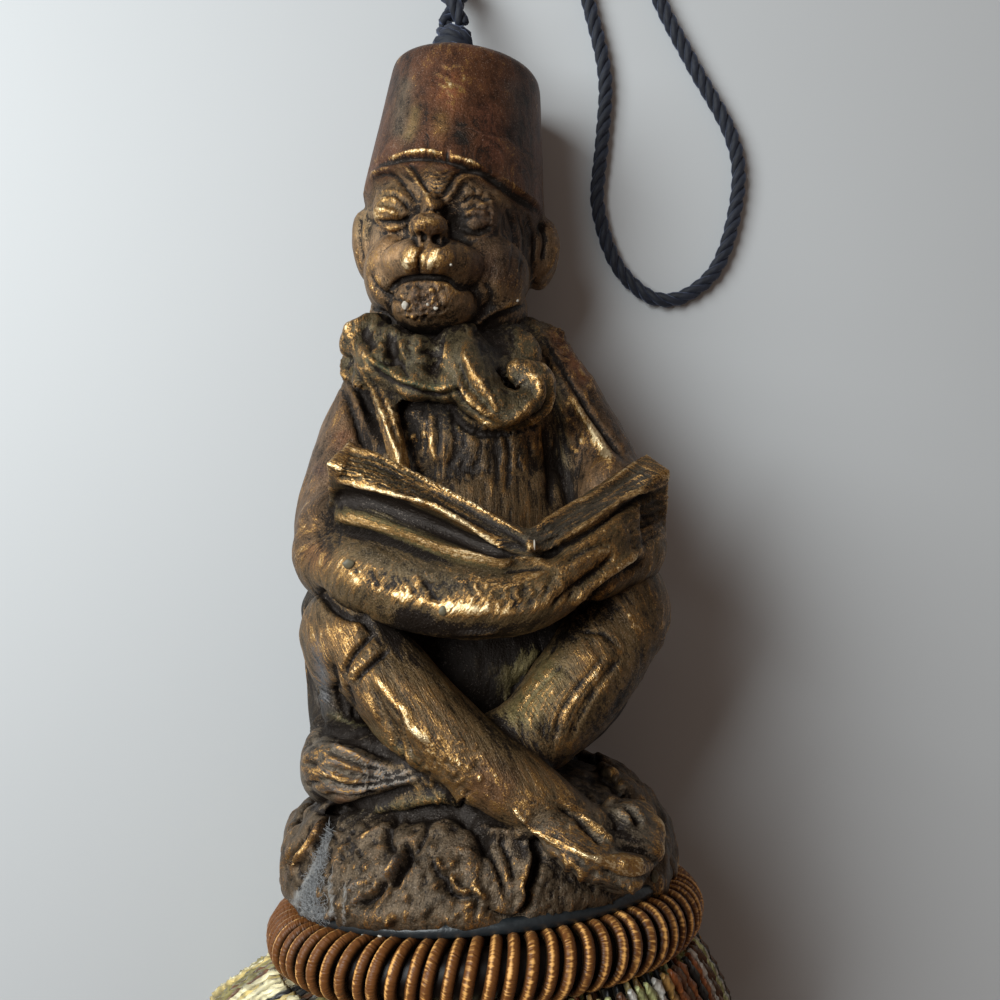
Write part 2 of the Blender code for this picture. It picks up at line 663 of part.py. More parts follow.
def main():
    clear_scene()
    tassel = add_collection("curtain_tieback_tassel")
    cutters = add_collection("cutters")
    root = add_object("tassel", None, tassel)
    axis = add_object("axis", None, tassel, root)
    axis.location = (0, 0, AXIS_HEIGHT * MM)
    axis.rotation_euler = (-math.radians(90 + LAY_TILT_DEG), 0, 0)
    ring_frame = add_object("ring_frame", None, tassel, axis)
    ring_frame.location = (0, 0, RING_DROP * MM)
    ring_frame.rotation_euler = (0, -math.radians(RING_SKEW_DEG), 0)
    figure = build_figure(tassel, axis)
    ring = build_gimp_ring(tassel, ring_frame)
    skirt = build_fringe_skirt(tassel, cutters, ring_frame, root)
    knot = build_top_knot(tassel, axis)
    loop = build_hanging_loop(tassel, root, axis)
    for obj in (figure, ring, skirt, knot, loop):
        add_finish(obj)
    for obj in (ring, knot):
        obj.data.shade_smooth()
    settle_on_origin(root, (figure, ring, skirt, knot))


main()
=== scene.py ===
"""Looks of the curtain tieback tassel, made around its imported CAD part.

Lengths are in millimetres in this file, and become metres when a mesh is made. The casting
is modelled upright, X to the viewer's right, -Y to the viewer and Z up the axis from the
middle of the ring, and is then laid on its back. Skirt and cord are modelled as they lie.
"""
import logging
import math
from dataclasses import dataclass, field
from enum import Enum
from functools import cache, partial
from typing import Optional, Sequence, Union

import bmesh
import bpy
import numpy as np
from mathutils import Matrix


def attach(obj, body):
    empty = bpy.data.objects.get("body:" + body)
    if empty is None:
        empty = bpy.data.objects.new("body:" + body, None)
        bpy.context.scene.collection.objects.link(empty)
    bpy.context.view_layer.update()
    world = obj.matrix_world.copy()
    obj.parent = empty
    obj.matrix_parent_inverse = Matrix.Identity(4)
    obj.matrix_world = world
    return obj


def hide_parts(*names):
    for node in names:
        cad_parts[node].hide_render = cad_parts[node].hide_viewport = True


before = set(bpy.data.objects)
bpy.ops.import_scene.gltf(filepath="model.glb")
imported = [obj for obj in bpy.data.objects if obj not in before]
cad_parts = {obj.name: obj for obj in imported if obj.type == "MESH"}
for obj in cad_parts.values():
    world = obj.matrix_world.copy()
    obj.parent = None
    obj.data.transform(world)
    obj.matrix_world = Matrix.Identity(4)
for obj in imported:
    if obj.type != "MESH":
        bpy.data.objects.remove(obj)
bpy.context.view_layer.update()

import openvdb
from mathutils import Euler, Vector

MM = 0.001
log = logging.getLogger("tassel")

# Repeated from the part's source.
LAY_TILT_DEG = 8.5
RING_MAJOR = 26.5
RING_TUBE = 4.5
AXIS_HEIGHT = RING_MAJOR * math.cos(math.radians(LAY_TILT_DEG)) + RING_TUBE
RING_DROP = -1.2
RING_SKEW_DEG = 2.5
ROOT_SHIFT = (4.716, -9.205, 0.0)
CORD_THICK = 2.6
PLY_RADIUS = 1.5
PLY_PITCH = 15.0
TWISTED_REACH = 15.0
KNOT_CENTRE = (-2.1, 0.4, 133.8)
KNOT_HALF = 3.75
GAP = 0.3
LOOP_HEIGHT = CORD_THICK / 2 + 0.05
CORD_POINTS = 72

# The shown coil sits this far up the axis from the solid ring, as the photograph has it.
COIL_RISE = 1.4
PLIES = 3
PLY_SHARE = 0.5

Triple = tuple[float, float, float]
Points = tuple[tuple[float, float], ...]
Line = Union[str, Points]
Socket = bpy.types.NodeSocket
Value = Union[float, Socket]


# ---------------------------------------------------------------- arithmetic

def ease(value: np.ndarray) -> np.ndarray:
    """Smooth step from 0 to 1."""
    value = np.clip(value, 0.0, 1.0)
    return value * value * (3 - 2 * value)


def bell(distance: np.ndarray, width: float) -> np.ndarray:
    """1 at no distance, and almost nothing beyond two widths."""
    return np.exp(-(distance / width) ** 2)


def unit(vectors: np.ndarray) -> np.ndarray:
    """The vectors, each at length 1."""
    return vectors / np.maximum(np.linalg.norm(vectors, axis=-1, keepdims=True), 1e-9)


def turned(degrees: Triple) -> np.ndarray:
    """The rotation matrix of three Euler angles."""
    return np.array(Euler([math.radians(angle) for angle in degrees]).to_matrix())


def smooth_run(stations: Sequence[Sequence[float]], per_span: int) -> np.ndarray:
    """Points on a smooth curve through the stations.

    Args:
        stations: Rows of any number of values, which are all made smooth.
        per_span: Points from one station to the next.
    Returns:
        One row per point.
    """
    rows = np.array(stations, float)
    ends = np.vstack([rows[0] * 2 - rows[1], rows, rows[-1] * 2 - rows[-2]])
    made = []
    for a, b, c, d in zip(ends, ends[1:], ends[2:], ends[3:]):
        t = np.arange(per_span)[:, None] / per_span
        made.append(0.5 * (2 * b + (c - a) * t + (2 * a - 5 * b + 4 * c - d) * t * t
                           + (3 * b - a - 3 * c + d) * t ** 3))
    return np.vstack([*made, rows[-1:]])


def evenly(points: np.ndarray, count: int) -> np.ndarray:
    """The same run of points, as count points that are evenly apart."""
    reach = run_length(points)
    want = np.linspace(0, reach[-1], count)
    return np.stack([np.interp(want, reach, points[:, k]) for k in range(points.shape[1])], 1)


def run_length(points: np.ndarray) -> np.ndarray:
    """How far along the run each of its points is."""
    steps = np.linalg.norm(np.diff(points[:, :3], axis=0), axis=1)
    return np.concatenate([[0.0], np.cumsum(steps)])


def lumps(points: np.ndarray, seed: int) -> np.ndarray:
    """A smooth value from -1 to 1 that comes and goes about once in each unit of space."""
    base = np.floor(points).astype(np.int64)
    part = ease(points - base)
    found = np.zeros(len(points))
    for corner in np.ndindex(2, 2, 2):
        x, y, z = (base + corner).T
        code = (x * 73856093 ^ y * 19349663 ^ z * 83492791 ^ seed * 2654435761) & 0xFFFFFFFF
        code = (code ^ (code >> 15)) * 2246822519 & 0xFFFFFFFF
        code = (code ^ (code >> 13)) & 0xFFFF
        found += np.prod(np.where(corner, part, 1 - part), axis=1) * (code / 32767.5 - 1)
    return found


class Place:
    """A frame that points are moved by: from its own coordinates to the row frame, in mm."""

    def __init__(self, matrix: np.ndarray) -> None:
        """Takes a 4 by 4 matrix."""
        self.matrix = matrix

    def then(self, shift: Triple, degrees: Triple = (0, 0, 0)) -> "Place":
        """The frame that is moved and turned inside this one."""
        inner = np.eye(4)
        inner[:3, :3] = turned(degrees)
        inner[:3, 3] = shift
        return Place(self.matrix @ inner)

    def points(self, points: np.ndarray) -> np.ndarray:
        """Points of this frame in the row frame."""
        return points @ self.matrix[:3, :3].T + self.matrix[:3, 3]


# The frames of the skirt as it lies, of the casting's axis, and of the coil on its mound.
AS_IT_LIES = Place(np.eye(4)).then(ROOT_SHIFT)
AXIS = AS_IT_LIES.then((0, 0, AXIS_HEIGHT), (-(90 + LAY_TILT_DEG), 0, 0))
COIL_FRAME = AXIS.then((0, 0, RING_DROP + COIL_RISE), (0, -RING_SKEW_DEG, 0))


# ---------------------------------------------------------------- meshes

class Shapes:
    """Shapes gathered as plain points and faces, to become one mesh."""

    def __init__(self) -> None:
        """Starts with nothing."""
        self.points: list[np.ndarray] = []
        self.faces: list[np.ndarray] = []
        self.marks: dict[str, list[np.ndarray]] = {}
        self.count = 0

    def add(self, points: np.ndarray, *faces: np.ndarray, **marks: np.ndarray) -> None:
        """Adds a shape.

        Args:
            points: One row per point.
            faces: Arrays of point numbers, one row per face.
            marks: Values for each point, by the name of their attribute.
        """
        points = np.asarray(points, float).reshape(-1, 3)
        self.points.append(points)
        self.faces += [np.asarray(group, int) + self.count for group in faces]
        self.count += len(points)
        for name, values in marks.items():
            self.marks.setdefault(name, []).append(np.asarray(values, float))

    def mesh(self, name: str, place: Optional[Place] = None) -> bpy.types.Mesh:
        """The shapes as one mesh, in metres.

        Args:
            name: The mesh's name.
            place: The frame that the points are in.
        Returns:
            The mesh, with its marks as attributes.
        """
        points = np.vstack(self.points)
        if place is not None:
            points = place.points(points)
        mesh = bpy.data.meshes.new(name)
        corners = np.concatenate([group.ravel() for group in self.faces])
        sizes = np.concatenate([np.full(len(group), group.shape[1]) for group in self.faces])
        mesh.vertices.add(len(points))
        mesh.vertices.foreach_set("co", (points * MM).ravel())
        mesh.loops.add(len(corners))
        mesh.loops.foreach_set("vertex_index", corners.astype(np.int32))
        mesh.polygons.add(len(sizes))
        starts = np.concatenate([[0], np.cumsum(sizes)[:-1]])
        mesh.polygons.foreach_set("loop_start", starts.astype(np.int32))
        mesh.update(calc_edges=True)
        kinds = {1: ("FLOAT", "value"), 3: ("FLOAT_VECTOR", "vector"), 4: ("FLOAT_COLOR", "color")}
        for key, parts in self.marks.items():
            values = np.concatenate(parts).reshape(len(points), -1)
            kind, part = kinds[values.shape[1]]
            data = mesh.attributes.new(key, kind, "POINT").data
            data.foreach_set(part, values.astype(np.float32).ravel())
        return mesh


def colours(rgb: np.ndarray) -> np.ndarray:
    """Rows of red, green and blue with a fourth value of 1."""
    return np.concatenate([rgb, np.ones((len(rgb), 1))], axis=1)


def in_scene(name: str, data: bpy.types.ID) -> bpy.types.Object:
    """Puts a mesh, a camera or a light in the scene. Returns its object."""
    obj = bpy.data.objects.new(name, data)
    bpy.context.scene.collection.objects.link(obj)
    return obj


def piece(name: str, shapes: Shapes, material: bpy.types.Material, node: str, slot: str,
          place: Optional[Place] = None) -> bpy.types.Object:
    """Makes the shapes a piece of the tassel, which rides on its one body.

    Args:
        name: The piece's name.
        shapes: What it is made of.
        material: Its finish.
        node: The CAD node that it stands for.
        slot: The name of the record's material slot for it; not used.
        place: The frame that the shapes are in.
    Returns:
        The piece.
    """
    mesh = shapes.mesh(name, place)
    obj = in_scene(name, mesh)
    mesh.materials.append(material)
    mesh.shade_smooth()
    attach(obj, "root")
    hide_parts(node)
    log.info("%s: %d triangles", name, sum(len(face.vertices) - 2 for face in mesh.polygons))
    return obj


def frames(paths: np.ndarray) -> tuple[np.ndarray, np.ndarray]:
    """Two directions across each point of many paths, which turn no more than the paths do."""
    tangents = unit(np.gradient(paths, axis=1))
    across = np.empty_like(paths)
    start = np.where(np.abs(tangents[:, :1, 2:]) < 0.8, (0.0, 0.0, 1.0), (1.0, 0.0, 0.0))
    across[:, 0] = unit(np.cross(start[:, 0], tangents[:, 0]))
    for k in range(1, paths.shape[1]):
        last = across[:, k - 1]
        lean = (last * tangents[:, k]).sum(-1, keepdims=True)
        across[:, k] = unit(last - lean * tangents[:, k])
    return across, np.cross(tangents, across)


def sweep(paths: np.ndarray, outline: np.ndarray, radii: np.ndarray,
          twist: Union[float, np.ndarray] = 0.0) -> tuple[np.ndarray, np.ndarray, np.ndarray]:
    """Carries an outline along many paths at once.

    Args:
        paths: Points, as (paths, steps, 3).
        outline: The cross-section, as (sides, 2), at radius 1.
        radii: The size at each step, as (paths, steps).
        twist: How far the outline is turned at each step, in radians.
    Returns:
        The points, the four-sided faces and the faces that cap the ends.
    """
    count, steps, _ = paths.shape
    sides = len(outline)
    across, up = frames(paths)
    angle = np.broadcast_to(twist, (count, steps))[..., None, None]
    cos, sin = np.cos(angle), np.sin(angle)
    x, y = outline[:, 0, None], outline[:, 1, None]
    one = x * cos - y * sin
    two = x * sin + y * cos
    grown = radii[..., None, None]
    points = paths[:, :, None] + grown * (one * across[:, :, None] + two * up[:, :, None])
    first = np.arange(count)[:, None, None] * steps * sides
    ring = np.arange(steps - 1)[None, :, None] * sides
    side = np.arange(sides)[None, None, :]
    after = (side + 1) % sides
    quads = np.stack([first + ring + side, first + ring + after,
                      first + ring + sides + after, first + ring + sides + side], -1)
    ends = first[:, 0] + np.arange(sides)
    caps = np.concatenate([ends[:, ::-1], ends + (steps - 1) * sides])
    return points.reshape(-1, 3), quads.reshape(-1, 4), caps


def round_outline(sides: int) -> np.ndarray:
    """A circle of radius 1."""
    turn = math.tau * np.arange(sides) / sides
    return np.stack([np.cos(turn), np.sin(turn)], 1)


def round_sides(sides: int, times: int) -> np.ndarray:
    """How far round its section each point of a swept outline is: 1, down to 0 and back."""
    return np.tile(np.abs(np.arange(sides) / sides * 2 - 1), times)


def plied(path: np.ndarray, thick: float, pitch: float,
          phase: float) -> tuple[np.ndarray, np.ndarray]:
    """The plies that are twisted together along a path.

    Args:
        path: The middle of the cord, as (steps, 3).
        thick: The cord's thickness over its plies.
        pitch: The length of one turn of the twist.
        phase: Where the first ply starts, in radians.
    Returns:
        The plies' paths, as (plies, steps, 3), and their radii, as (plies, steps).
    """
    (across,), (up,) = frames(path[None])
    ply = thick / 2 * PLY_SHARE
    turn = run_length(path) * math.tau / pitch + phase
    turn = (turn + math.tau * np.arange(PLIES)[:, None] / PLIES)[..., None]
    out = (thick / 2 - ply) * (np.cos(turn) * across + np.sin(turn) * up)
    return path + out, np.full(turn.shape[:2], ply)


# ---------------------------------------------------------------- nodes

class Graph:
    """Short calls for the nodes of one material or one group."""

    def __init__(self, tree: bpy.types.NodeTree) -> None:
        """Takes the tree that the nodes go into."""
        self.nodes, self.links = tree.nodes, tree.links

    def fill(self, node: bpy.types.Node, inputs: dict) -> bpy.types.Node:
        """Sets each of a node's own inputs, or links a socket to it. Returns the node."""
        for name, value in inputs.items():
            if isinstance(value, Socket):
                self.links.new(value, node.inputs[name])
            else:
                node.inputs[name].default_value = value
        return node

    def add(self, kind: str, inputs: Optional[dict] = None, **settings: object):
        """Adds a shader node.

        Args:
            kind: The node's type, without its prefix.
            inputs: A value or a socket for each input, by its name or number.
            settings: The node's own properties.
        Returns:
            The node.
        """
        node = self.nodes.new("ShaderNode" + kind)
        for name, value in settings.items():
            setattr(node, name, value)
        return self.fill(node, inputs or {})

    def group(self, tree: bpy.types.NodeTree, **inputs: Value):
        """Places a group of nodes, with a value for each of its inputs."""
        return self.add("Group", inputs, node_tree=tree)

    def math(self, operation: str, *values: Value, clamp: bool = False) -> Socket:
        """The result of a Math node."""
        return self.add("Math", dict(enumerate(values)), operation=operation,
                        use_clamp=clamp).outputs[0]

    def times(self, value: Value, factor: Value) -> Socket:
        """A value times a factor."""
        return self.math("MULTIPLY", value, factor)

    def total(self, first: Value, *more: Value) -> Socket:
        """The sum of several values."""
        for value in more:
            first = self.math("ADD", first, value)
        return first

    def mix(self, share: Value, one: object, two: object, how: str = "MIX") -> Socket:
        """A colour between two colours, or blended from them in another way."""
        return self.add("Mix", {0: share, 6: one, 7: two}, data_type="RGBA",
                        blend_type=how).outputs[2]

    def span(self, value: Value, low: float, high: float, to_low: Value = 0.0,
             to_high: Value = 1.0) -> Socket:
        """A value moved smoothly from one range to another, and held inside it."""
        return self.add("MapRange", {0: value, 1: low, 2: high, 3: to_low, 4: to_high},
                        interpolation_type="SMOOTHSTEP").outputs[0]

    def noise(self, vector: Socket, scale: Value, detail: float = 2.0,
              rough: float = 0.5) -> Socket:
        """The value of a Noise node."""
        return self.add("TexNoise", {"Vector": vector, "Scale": scale, "Detail": detail,
                                     "Roughness": rough}).outputs["Fac"]

    def swing(self, value: Socket, reach: float) -> Socket:
        """A noise's value moved to lie evenly round 0, and stretched."""
        return self.times(self.math("SUBTRACT", value, 0.5), reach)

    def shaded(self, tone: Socket, shade: Socket) -> Socket:
        """A colour made lighter or darker by a shade round 1."""
        grey = self.add("CombineColor", {0: shade, 1: shade, 2: shade}).outputs[0]
        return self.mix(1.0, tone, grey, "MULTIPLY")

    def place(self) -> Socket:
        """The point's place on the piece."""
        return self.add("TexCoord").outputs["Object"]

    def mark(self, name: str, output: str = "Fac") -> Socket:
        """An attribute of the mesh."""
        return self.add("Attribute", attribute_name=name).outputs[output]

    def bump(self, height: Socket, strength: float, distance: float) -> Socket:
        """A normal that is tilted by a height, in millimetres."""
        return self.add("Bump", {"Height": height, "Strength": strength,
                                 "Distance": distance * MM}).outputs["Normal"]

    def threads(self, across: Socket, along: Socket, slant: float) -> Socket:
        """The height of fine threads."""
        return self.group(Effects.threads(), Across=across, Along=along,
                          Slant=slant).outputs["Height"]

    def mottle(self, scale: float, contrast: float) -> Socket:
        """The mask of an uneven tone over the piece."""
        return self.group(Effects.mottle(), Vector=self.place(), Scale=scale,
                          Contrast=contrast).outputs["Mask"]


def new_group(name: str, inputs: dict[str, tuple[str, object]],
              outputs: dict[str, str]) -> tuple[bpy.types.NodeTree, Graph, object, object]:
    """Starts a shader node group.

    Args:
        name: The group's name.
        inputs: The type's short name and the value at rest of each input.
        outputs: The type's short name of each output.
    Returns:
        The tree, its graph, and its input and output nodes.
    """
    tree = bpy.data.node_groups.new(name, "ShaderNodeTree")
    for key, (kind, rest) in inputs.items():
        socket = tree.interface.new_socket(key, in_out="INPUT",
                                           socket_type="NodeSocket" + kind)
        if rest is not None:
            socket.default_value = rest
    for key, kind in outputs.items():
        tree.interface.new_socket(key, in_out="OUTPUT", socket_type="NodeSocket" + kind)
    graph = Graph(tree)
    return tree, graph, tree.nodes.new("NodeGroupInput"), tree.nodes.new("NodeGroupOutput")


class Effects:
    """The effects that more than one material uses, each built once."""

    @staticmethod
    @cache
    def threads() -> bpy.types.NodeTree:
        """Fine threads laid side by side, as on a wound or twisted cord.

        Returns:
            A group with the threads' height.
        """
        tree, graph, given, out = new_group(
            "fine_threads", {"Across": ("Float", 0.0), "Along": ("Float", 0.0),
                             "Slant": ("Float", 0.0)}, {"Height": "Float"})
        along = given.outputs["Along"]
        lean = graph.math("MULTIPLY_ADD", along, given.outputs["Slant"], given.outputs["Across"])
        vector = graph.add("CombineXYZ", {0: lean, 1: along}).outputs[0]
        graph.fill(out, {"Height": graph.noise(vector, 1.0, 1.0, 0.6)})
        return tree

    @staticmethod
    @cache
    def mottle() -> bpy.types.NodeTree:
        """Uneven tone at two scales, as on anything that was painted or handled.

        Returns:
            A group with a mask from 0 to 1 that is mostly near the middle.
        """
        tree, graph, given, out = new_group(
            "mottle", {"Vector": ("Vector", None), "Scale": ("Float", 100.0),
                       "Contrast": ("Float", 1.0)}, {"Mask": "Float"})
        coarse = graph.noise(given.outputs["Vector"], given.outputs["Scale"], 4.0, 0.6)
        around = graph.math("SUBTRACT", coarse, 0.5)
        graph.fill(out, {"Mask": graph.math("MULTIPLY_ADD", around, given.outputs["Contrast"],
                                            0.5, clamp=True)})
        return tree


def new_material(name: str) -> tuple[bpy.types.Material, Graph, object]:
    """Starts a material. Returns it with its graph and its Principled shader."""
    material = bpy.data.materials.new(name)
    material.use_nodes = True
    graph = Graph(material.node_tree)
    return material, graph, material.node_tree.nodes["Principled BSDF"]


# ---------------------------------------------------------------- finishes

@dataclass(frozen=True)
class GiltResin:
    """Bronze paint on cast resin: brown glazing in the hollows, which also carries the painted shade of
    some front marks, gold flecks where it stands up, and pale specks that are painted glints.
    """

    name: str = "gilt_resin"
    gold: tuple = (0.42, 0.235, 0.078, 1)
    pale: tuple = (0.86, 0.66, 0.38, 1)
    amber: tuple = (0.15, 0.062, 0.018, 1)
    # the colour of the painted glints
    glint_tone: tuple = (0.34, 0.28, 0.235, 1)
    # dark glazing for the hollows, which also shows the painted shade that marks add
    glaze_and_shade: tuple = (0.019, 0.013, 0.0095, 1)
    dust: tuple = (0.26, 0.25, 0.235, 1)

    def material(self) -> bpy.types.Material:
        """Builds the finish from the casting's painted attributes.

        Returns:
            The material.
        """
        material, graph, shader = new_material(self.name)
        swing = graph.swing
        grain, hollow = graph.mark("grain", "Vector"), graph.mark("hollow")
        long = graph.noise(grain, 0.2, 3.0, 0.65)
        streak = graph.noise(grain, 0.55, 3.0, 0.7)
        fine = graph.noise(grain, 1.6, 2.0, 0.7)
        speck = graph.noise(graph.place(), 4300.0, 2.0, 0.75)
        blot = graph.mottle(240.0, 1.6)
        ragged = graph.total(swing(speck, 2.4), swing(fine, 2.0), swing(streak, 2.4),
                             swing(long, 1.8))
        shade = graph.total(1.0, swing(long, 1.8), swing(streak, 2.6), swing(speck, 2.2),
                            swing(blot, 1.0))
        base = graph.shaded(graph.mark("tint", "Color"), graph.math("MAXIMUM", shade, 0.12))
        gilt = graph.total(graph.mark("gilt"), graph.times(ragged, 0.72), swing(blot, 0.35),
                           graph.times(hollow, -0.45))
        base = graph.mix(graph.span(gilt, 0.12, 0.50, 0.0, 0.5), base, self.amber)
        dark = graph.span(graph.total(hollow, graph.times(ragged, -0.5)), 0.16, 0.70)
        # Dark glazing in the hollows; where a mark's dark is painted shade, this paints that shade.
        base = graph.mix(dark, base, self.glaze_and_shade)
        # Painted glints: pale specks mixed into the colour, standing in for light sparkling on the dark
        # paint.
        glint = graph.span(graph.total(speck, swing(long, 0.3)), 0.60, 0.76)
        base = graph.mix(graph.times(glint, 0.55), base, self.glint_tone)
        flecks = graph.span(gilt, 0.44, 0.74)
        bright = graph.span(gilt, 0.85, 1.30)
        base = graph.mix(flecks, base, graph.mix(bright, self.gold, self.pale))
        dusty = graph.span(graph.total(graph.mark("dust"), swing(fine, 1.4)), 0.3, 1.0)
        clean = graph.math("SUBTRACT", 1.0, dusty)
        rough = graph.math("MULTIPLY_ADD", flecks, -0.12, 0.46)
        height = graph.total(streak, graph.times(speck, 0.55), graph.times(fine, 0.5))
        graph.fill(shader, {
            "Base Color": graph.mix(dusty, base, self.dust),
            "Metallic": graph.times(graph.math("MULTIPLY_ADD", flecks, 0.50, 0.42), clean),
            "Roughness": graph.math("MULTIPLY_ADD", dusty, 0.4, rough),
            "Specular IOR Level": 0.3, "Normal": graph.bump(height, 0.9, 0.2)})
        return material


@dataclass(frozen=True)
class SatinGimp:
    """Satin thread wound closely round a cord, painted near-black as shade in the gaps between turns,
    with a painted highlight along each turn.
    """

    name: str = "satin_gimp"
    thread: tuple = (0.165, 0.059, 0.015, 1)
    # the colour of the painted highlight along each turn
    highlight_tone: tuple = (0.90, 0.46, 0.135, 1)
    # near-black painted shade for the gaps between turns and for the core
    deep: tuple = (0.005, 0.002, 0.001, 1)

    def material(self) -> bpy.types.Material:
        """Builds the finish. Returns the material."""
        material, graph, shader = new_material(self.name)
        threads = graph.threads(graph.times(graph.mark("run"), 3.6),
                                graph.times(graph.mark("turn"), 1.2), 0.8)
        # Painted shade: a point that lies low, between turns or on the core, turns near-black.
        tone = graph.mix(graph.span(graph.mark("lift"), 0.45, 0.95), self.deep, self.thread)
        # Painted highlight: the bright stripe along each turn, made ragged by the threads.
        gloss = graph.span(graph.total(graph.mark("gloss"), graph.swing(threads, 1.5)),
                           0.40, 1.05)
        graph.fill(shader, {
            "Base Color": graph.mix(gloss, tone, self.highlight_tone), "Roughness": 0.42,
            "Specular IOR Level": 0.25, "Sheen Weight": 0.1, "Sheen Roughness": 0.4,
            "Sheen Tint": (1.0, 0.62, 0.30, 1), "Normal": graph.bump(threads, 0.9, 0.24)})
        return material


@dataclass(frozen=True)
class TwistedYarn:
    """Soft yarn, spun and twisted, with its own colour for each strand."""

    name: str
    roughness: float
    sheen: float
    sheen_tint: tuple
    lines: float

    def material(self) -> bpy.types.Material:
        """Builds the finish. Returns the material."""
        material, graph, shader = new_material(self.name)
        threads = graph.threads(graph.times(graph.mark("turn"), self.lines),
                                graph.times(graph.mark("run"), 0.5), 2.2)
        shade = graph.times(graph.span(threads, 0.3, 0.7, 0.55, 1.3),
                            graph.span(graph.mottle(420.0, 1.4), 0.2, 0.8, 0.75, 1.15))
        graph.fill(shader, {
            "Base Color": graph.shaded(graph.mark("tint", "Color"), shade),
            "Roughness": self.roughness, "Sheen Weight": self.sheen, "Sheen Roughness": 0.5,
            "Sheen Tint": self.sheen_tint, "Normal": graph.bump(threads, 0.7, 0.12)})
        return material


@dataclass(frozen=True)
class Plain:
    """One colour with a little uneven tone, for small specks and the surface it lies on."""

    name: str
    tone: tuple
    other: tuple
    roughness: float
    scale: float = 300.0
    relief: float = 0.02

    def material(self) -> bpy.types.Material:
        """Builds the finish. Returns the material."""
        material, graph, shader = new_material(self.name)
        blot = graph.mottle(self.scale, 1.5)
        graph.fill(shader, {"Base Color": graph.mix(blot, self.tone, self.other),
                            "Roughness": self.roughness,
                            "Normal": graph.bump(blot, 0.4, self.relief)})
        return material


FRINGE_YARN = TwistedYarn("fringe_yarn", 0.40, 0.25, (1.0, 0.92, 0.7, 1), 1.6)
BLACK_CORD = TwistedYarn("black_cord", 0.72, 0.30, (0.45, 0.55, 0.9, 1), 2.6)


# ---------------------------------------------------------------- the casting's forms

class Region(Enum):
    """Parts of the casting that are painted and textured alike."""

    FEZ = "fez"
    FACE = "face"
    RUFF = "ruff"
    COAT = "coat"
    SLEEVE = "sleeve"
    FUR = "fur"
    LEG = "leg"
    BOOK = "book"
    FOOT = "foot"
    SEAT = "seat"
    MOUND = "mound"


@dataclass(frozen=True)
class Paint:
    """How a region is finished: its colour, its wear, and the way that its marks run."""

    tone: Triple
    gilt: float
    hollow: float
    relief: float
    along: Triple
    stretch: float = 0.18
    pace: float = 2.6


PAINTS = {
    Region.FEZ: Paint((0.088, 0.034, 0.015), -0.25, 0.05, 0.015, (0.05, 0, 1), 0.55, 1.1),
    Region.FACE: Paint((0.165, 0.100, 0.049), -0.04, 0.10, 0.035, (0.1, 0, 1), 0.45, 2.6),
    Region.RUFF: Paint((0.090, 0.068, 0.034), -0.14, 0.16, 0.15, (0.0, -0.5, -1), 0.4, 2.6),
    Region.COAT: Paint((0.125, 0.078, 0.036), 0.05, 0.10, 0.10, (0.05, 0.1, 1), 0.12, 2.4),
    Region.SLEEVE: Paint((0.130, 0.074, 0.036), -0.06, 0.08, 0.06, (0.15, 0, 1), 0.30, 2.2),
    Region.FUR: Paint((0.122, 0.079, 0.034), 0.04, 0.12, 0.07, (0.55, -0.25, 0.65), 0.16, 2.6),
    Region.LEG: Paint((0.125, 0.078, 0.034), 0.03, 0.11, 0.07, (0.5, -0.3, -0.9), 0.16, 2.6),
    Region.BOOK: Paint((0.078, 0.056, 0.026), 0.00, 0.15, 0.05, (0.9, -0.3, -0.5), 0.12, 2.6),
    Region.FOOT: Paint((0.120, 0.092, 0.062), -0.08, 0.12, 0.07, (1, -0.2, -0.5), 0.2, 2.4),
    Region.SEAT: Paint((0.030, 0.021, 0.013), -0.40, 0.25, 0.10, (0.1, 0, 1), 0.5, 2.0),
    Region.MOUND: Paint((0.096, 0.066, 0.039), -0.28, 0.11, 0.14, (0.3, 0, 1), 0.5, 2.2),
}


@dataclass(frozen=True)
class Ball:
    """A ball or an egg."""

    region: Region
    centre: Triple
    radii: Triple
    turn: Triple = (0, 0, 0)

    def shape(self, shapes: Shapes) -> None:
        """Adds the form to the shapes."""
        points, faces = unit_ball()
        shapes.add(points * self.radii @ turned(self.turn).T + self.centre, faces)

    def distance(self, points: np.ndarray) -> np.ndarray:
        """About how far each point is outside the form."""
        local = (points - self.centre) @ turned(self.turn)
        level = np.linalg.norm(local / self.radii, axis=1)
        return np.linalg.norm(local, axis=1) * (1 - 1 / np.maximum(level, 1e-3))


@dataclass(frozen=True)
class Limb:
    """A round limb that swells and thins along its stations of x, y, z and radius."""

    region: Region
    stations: tuple[tuple[float, float, float, float], ...]

    def shape(self, shapes: Shapes) -> None:
        """Adds the form to the shapes, with a ball at each end."""
        run = smooth_run(self.stations, 8)
        points, quads, caps = sweep(run[None, :, :3], round_outline(20), run[None, :, 3])
        shapes.add(points, quads, caps)
        for x, y, z, radius in (self.stations[0], self.stations[-1]):
            Ball(self.region, (x, y, z), (radius,) * 3).shape(shapes)

    def distance(self, points: np.ndarray) -> np.ndarray:
        """About how far each point is outside the form."""
        run = smooth_run(self.stations, 2)
        best = np.full(len(points), 1e3)
        for a, b in zip(run, run[1:]):
            along = b[:3] - a[:3]
            share = np.clip((points - a[:3]) @ along / max(along @ along, 1e-9), 0, 1)
            middle = a[:3] + share[:, None] * along
            radius = a[3] + share * (b[3] - a[3])
            best = np.minimum(best, np.linalg.norm(points - middle, axis=1) - radius)
        return best


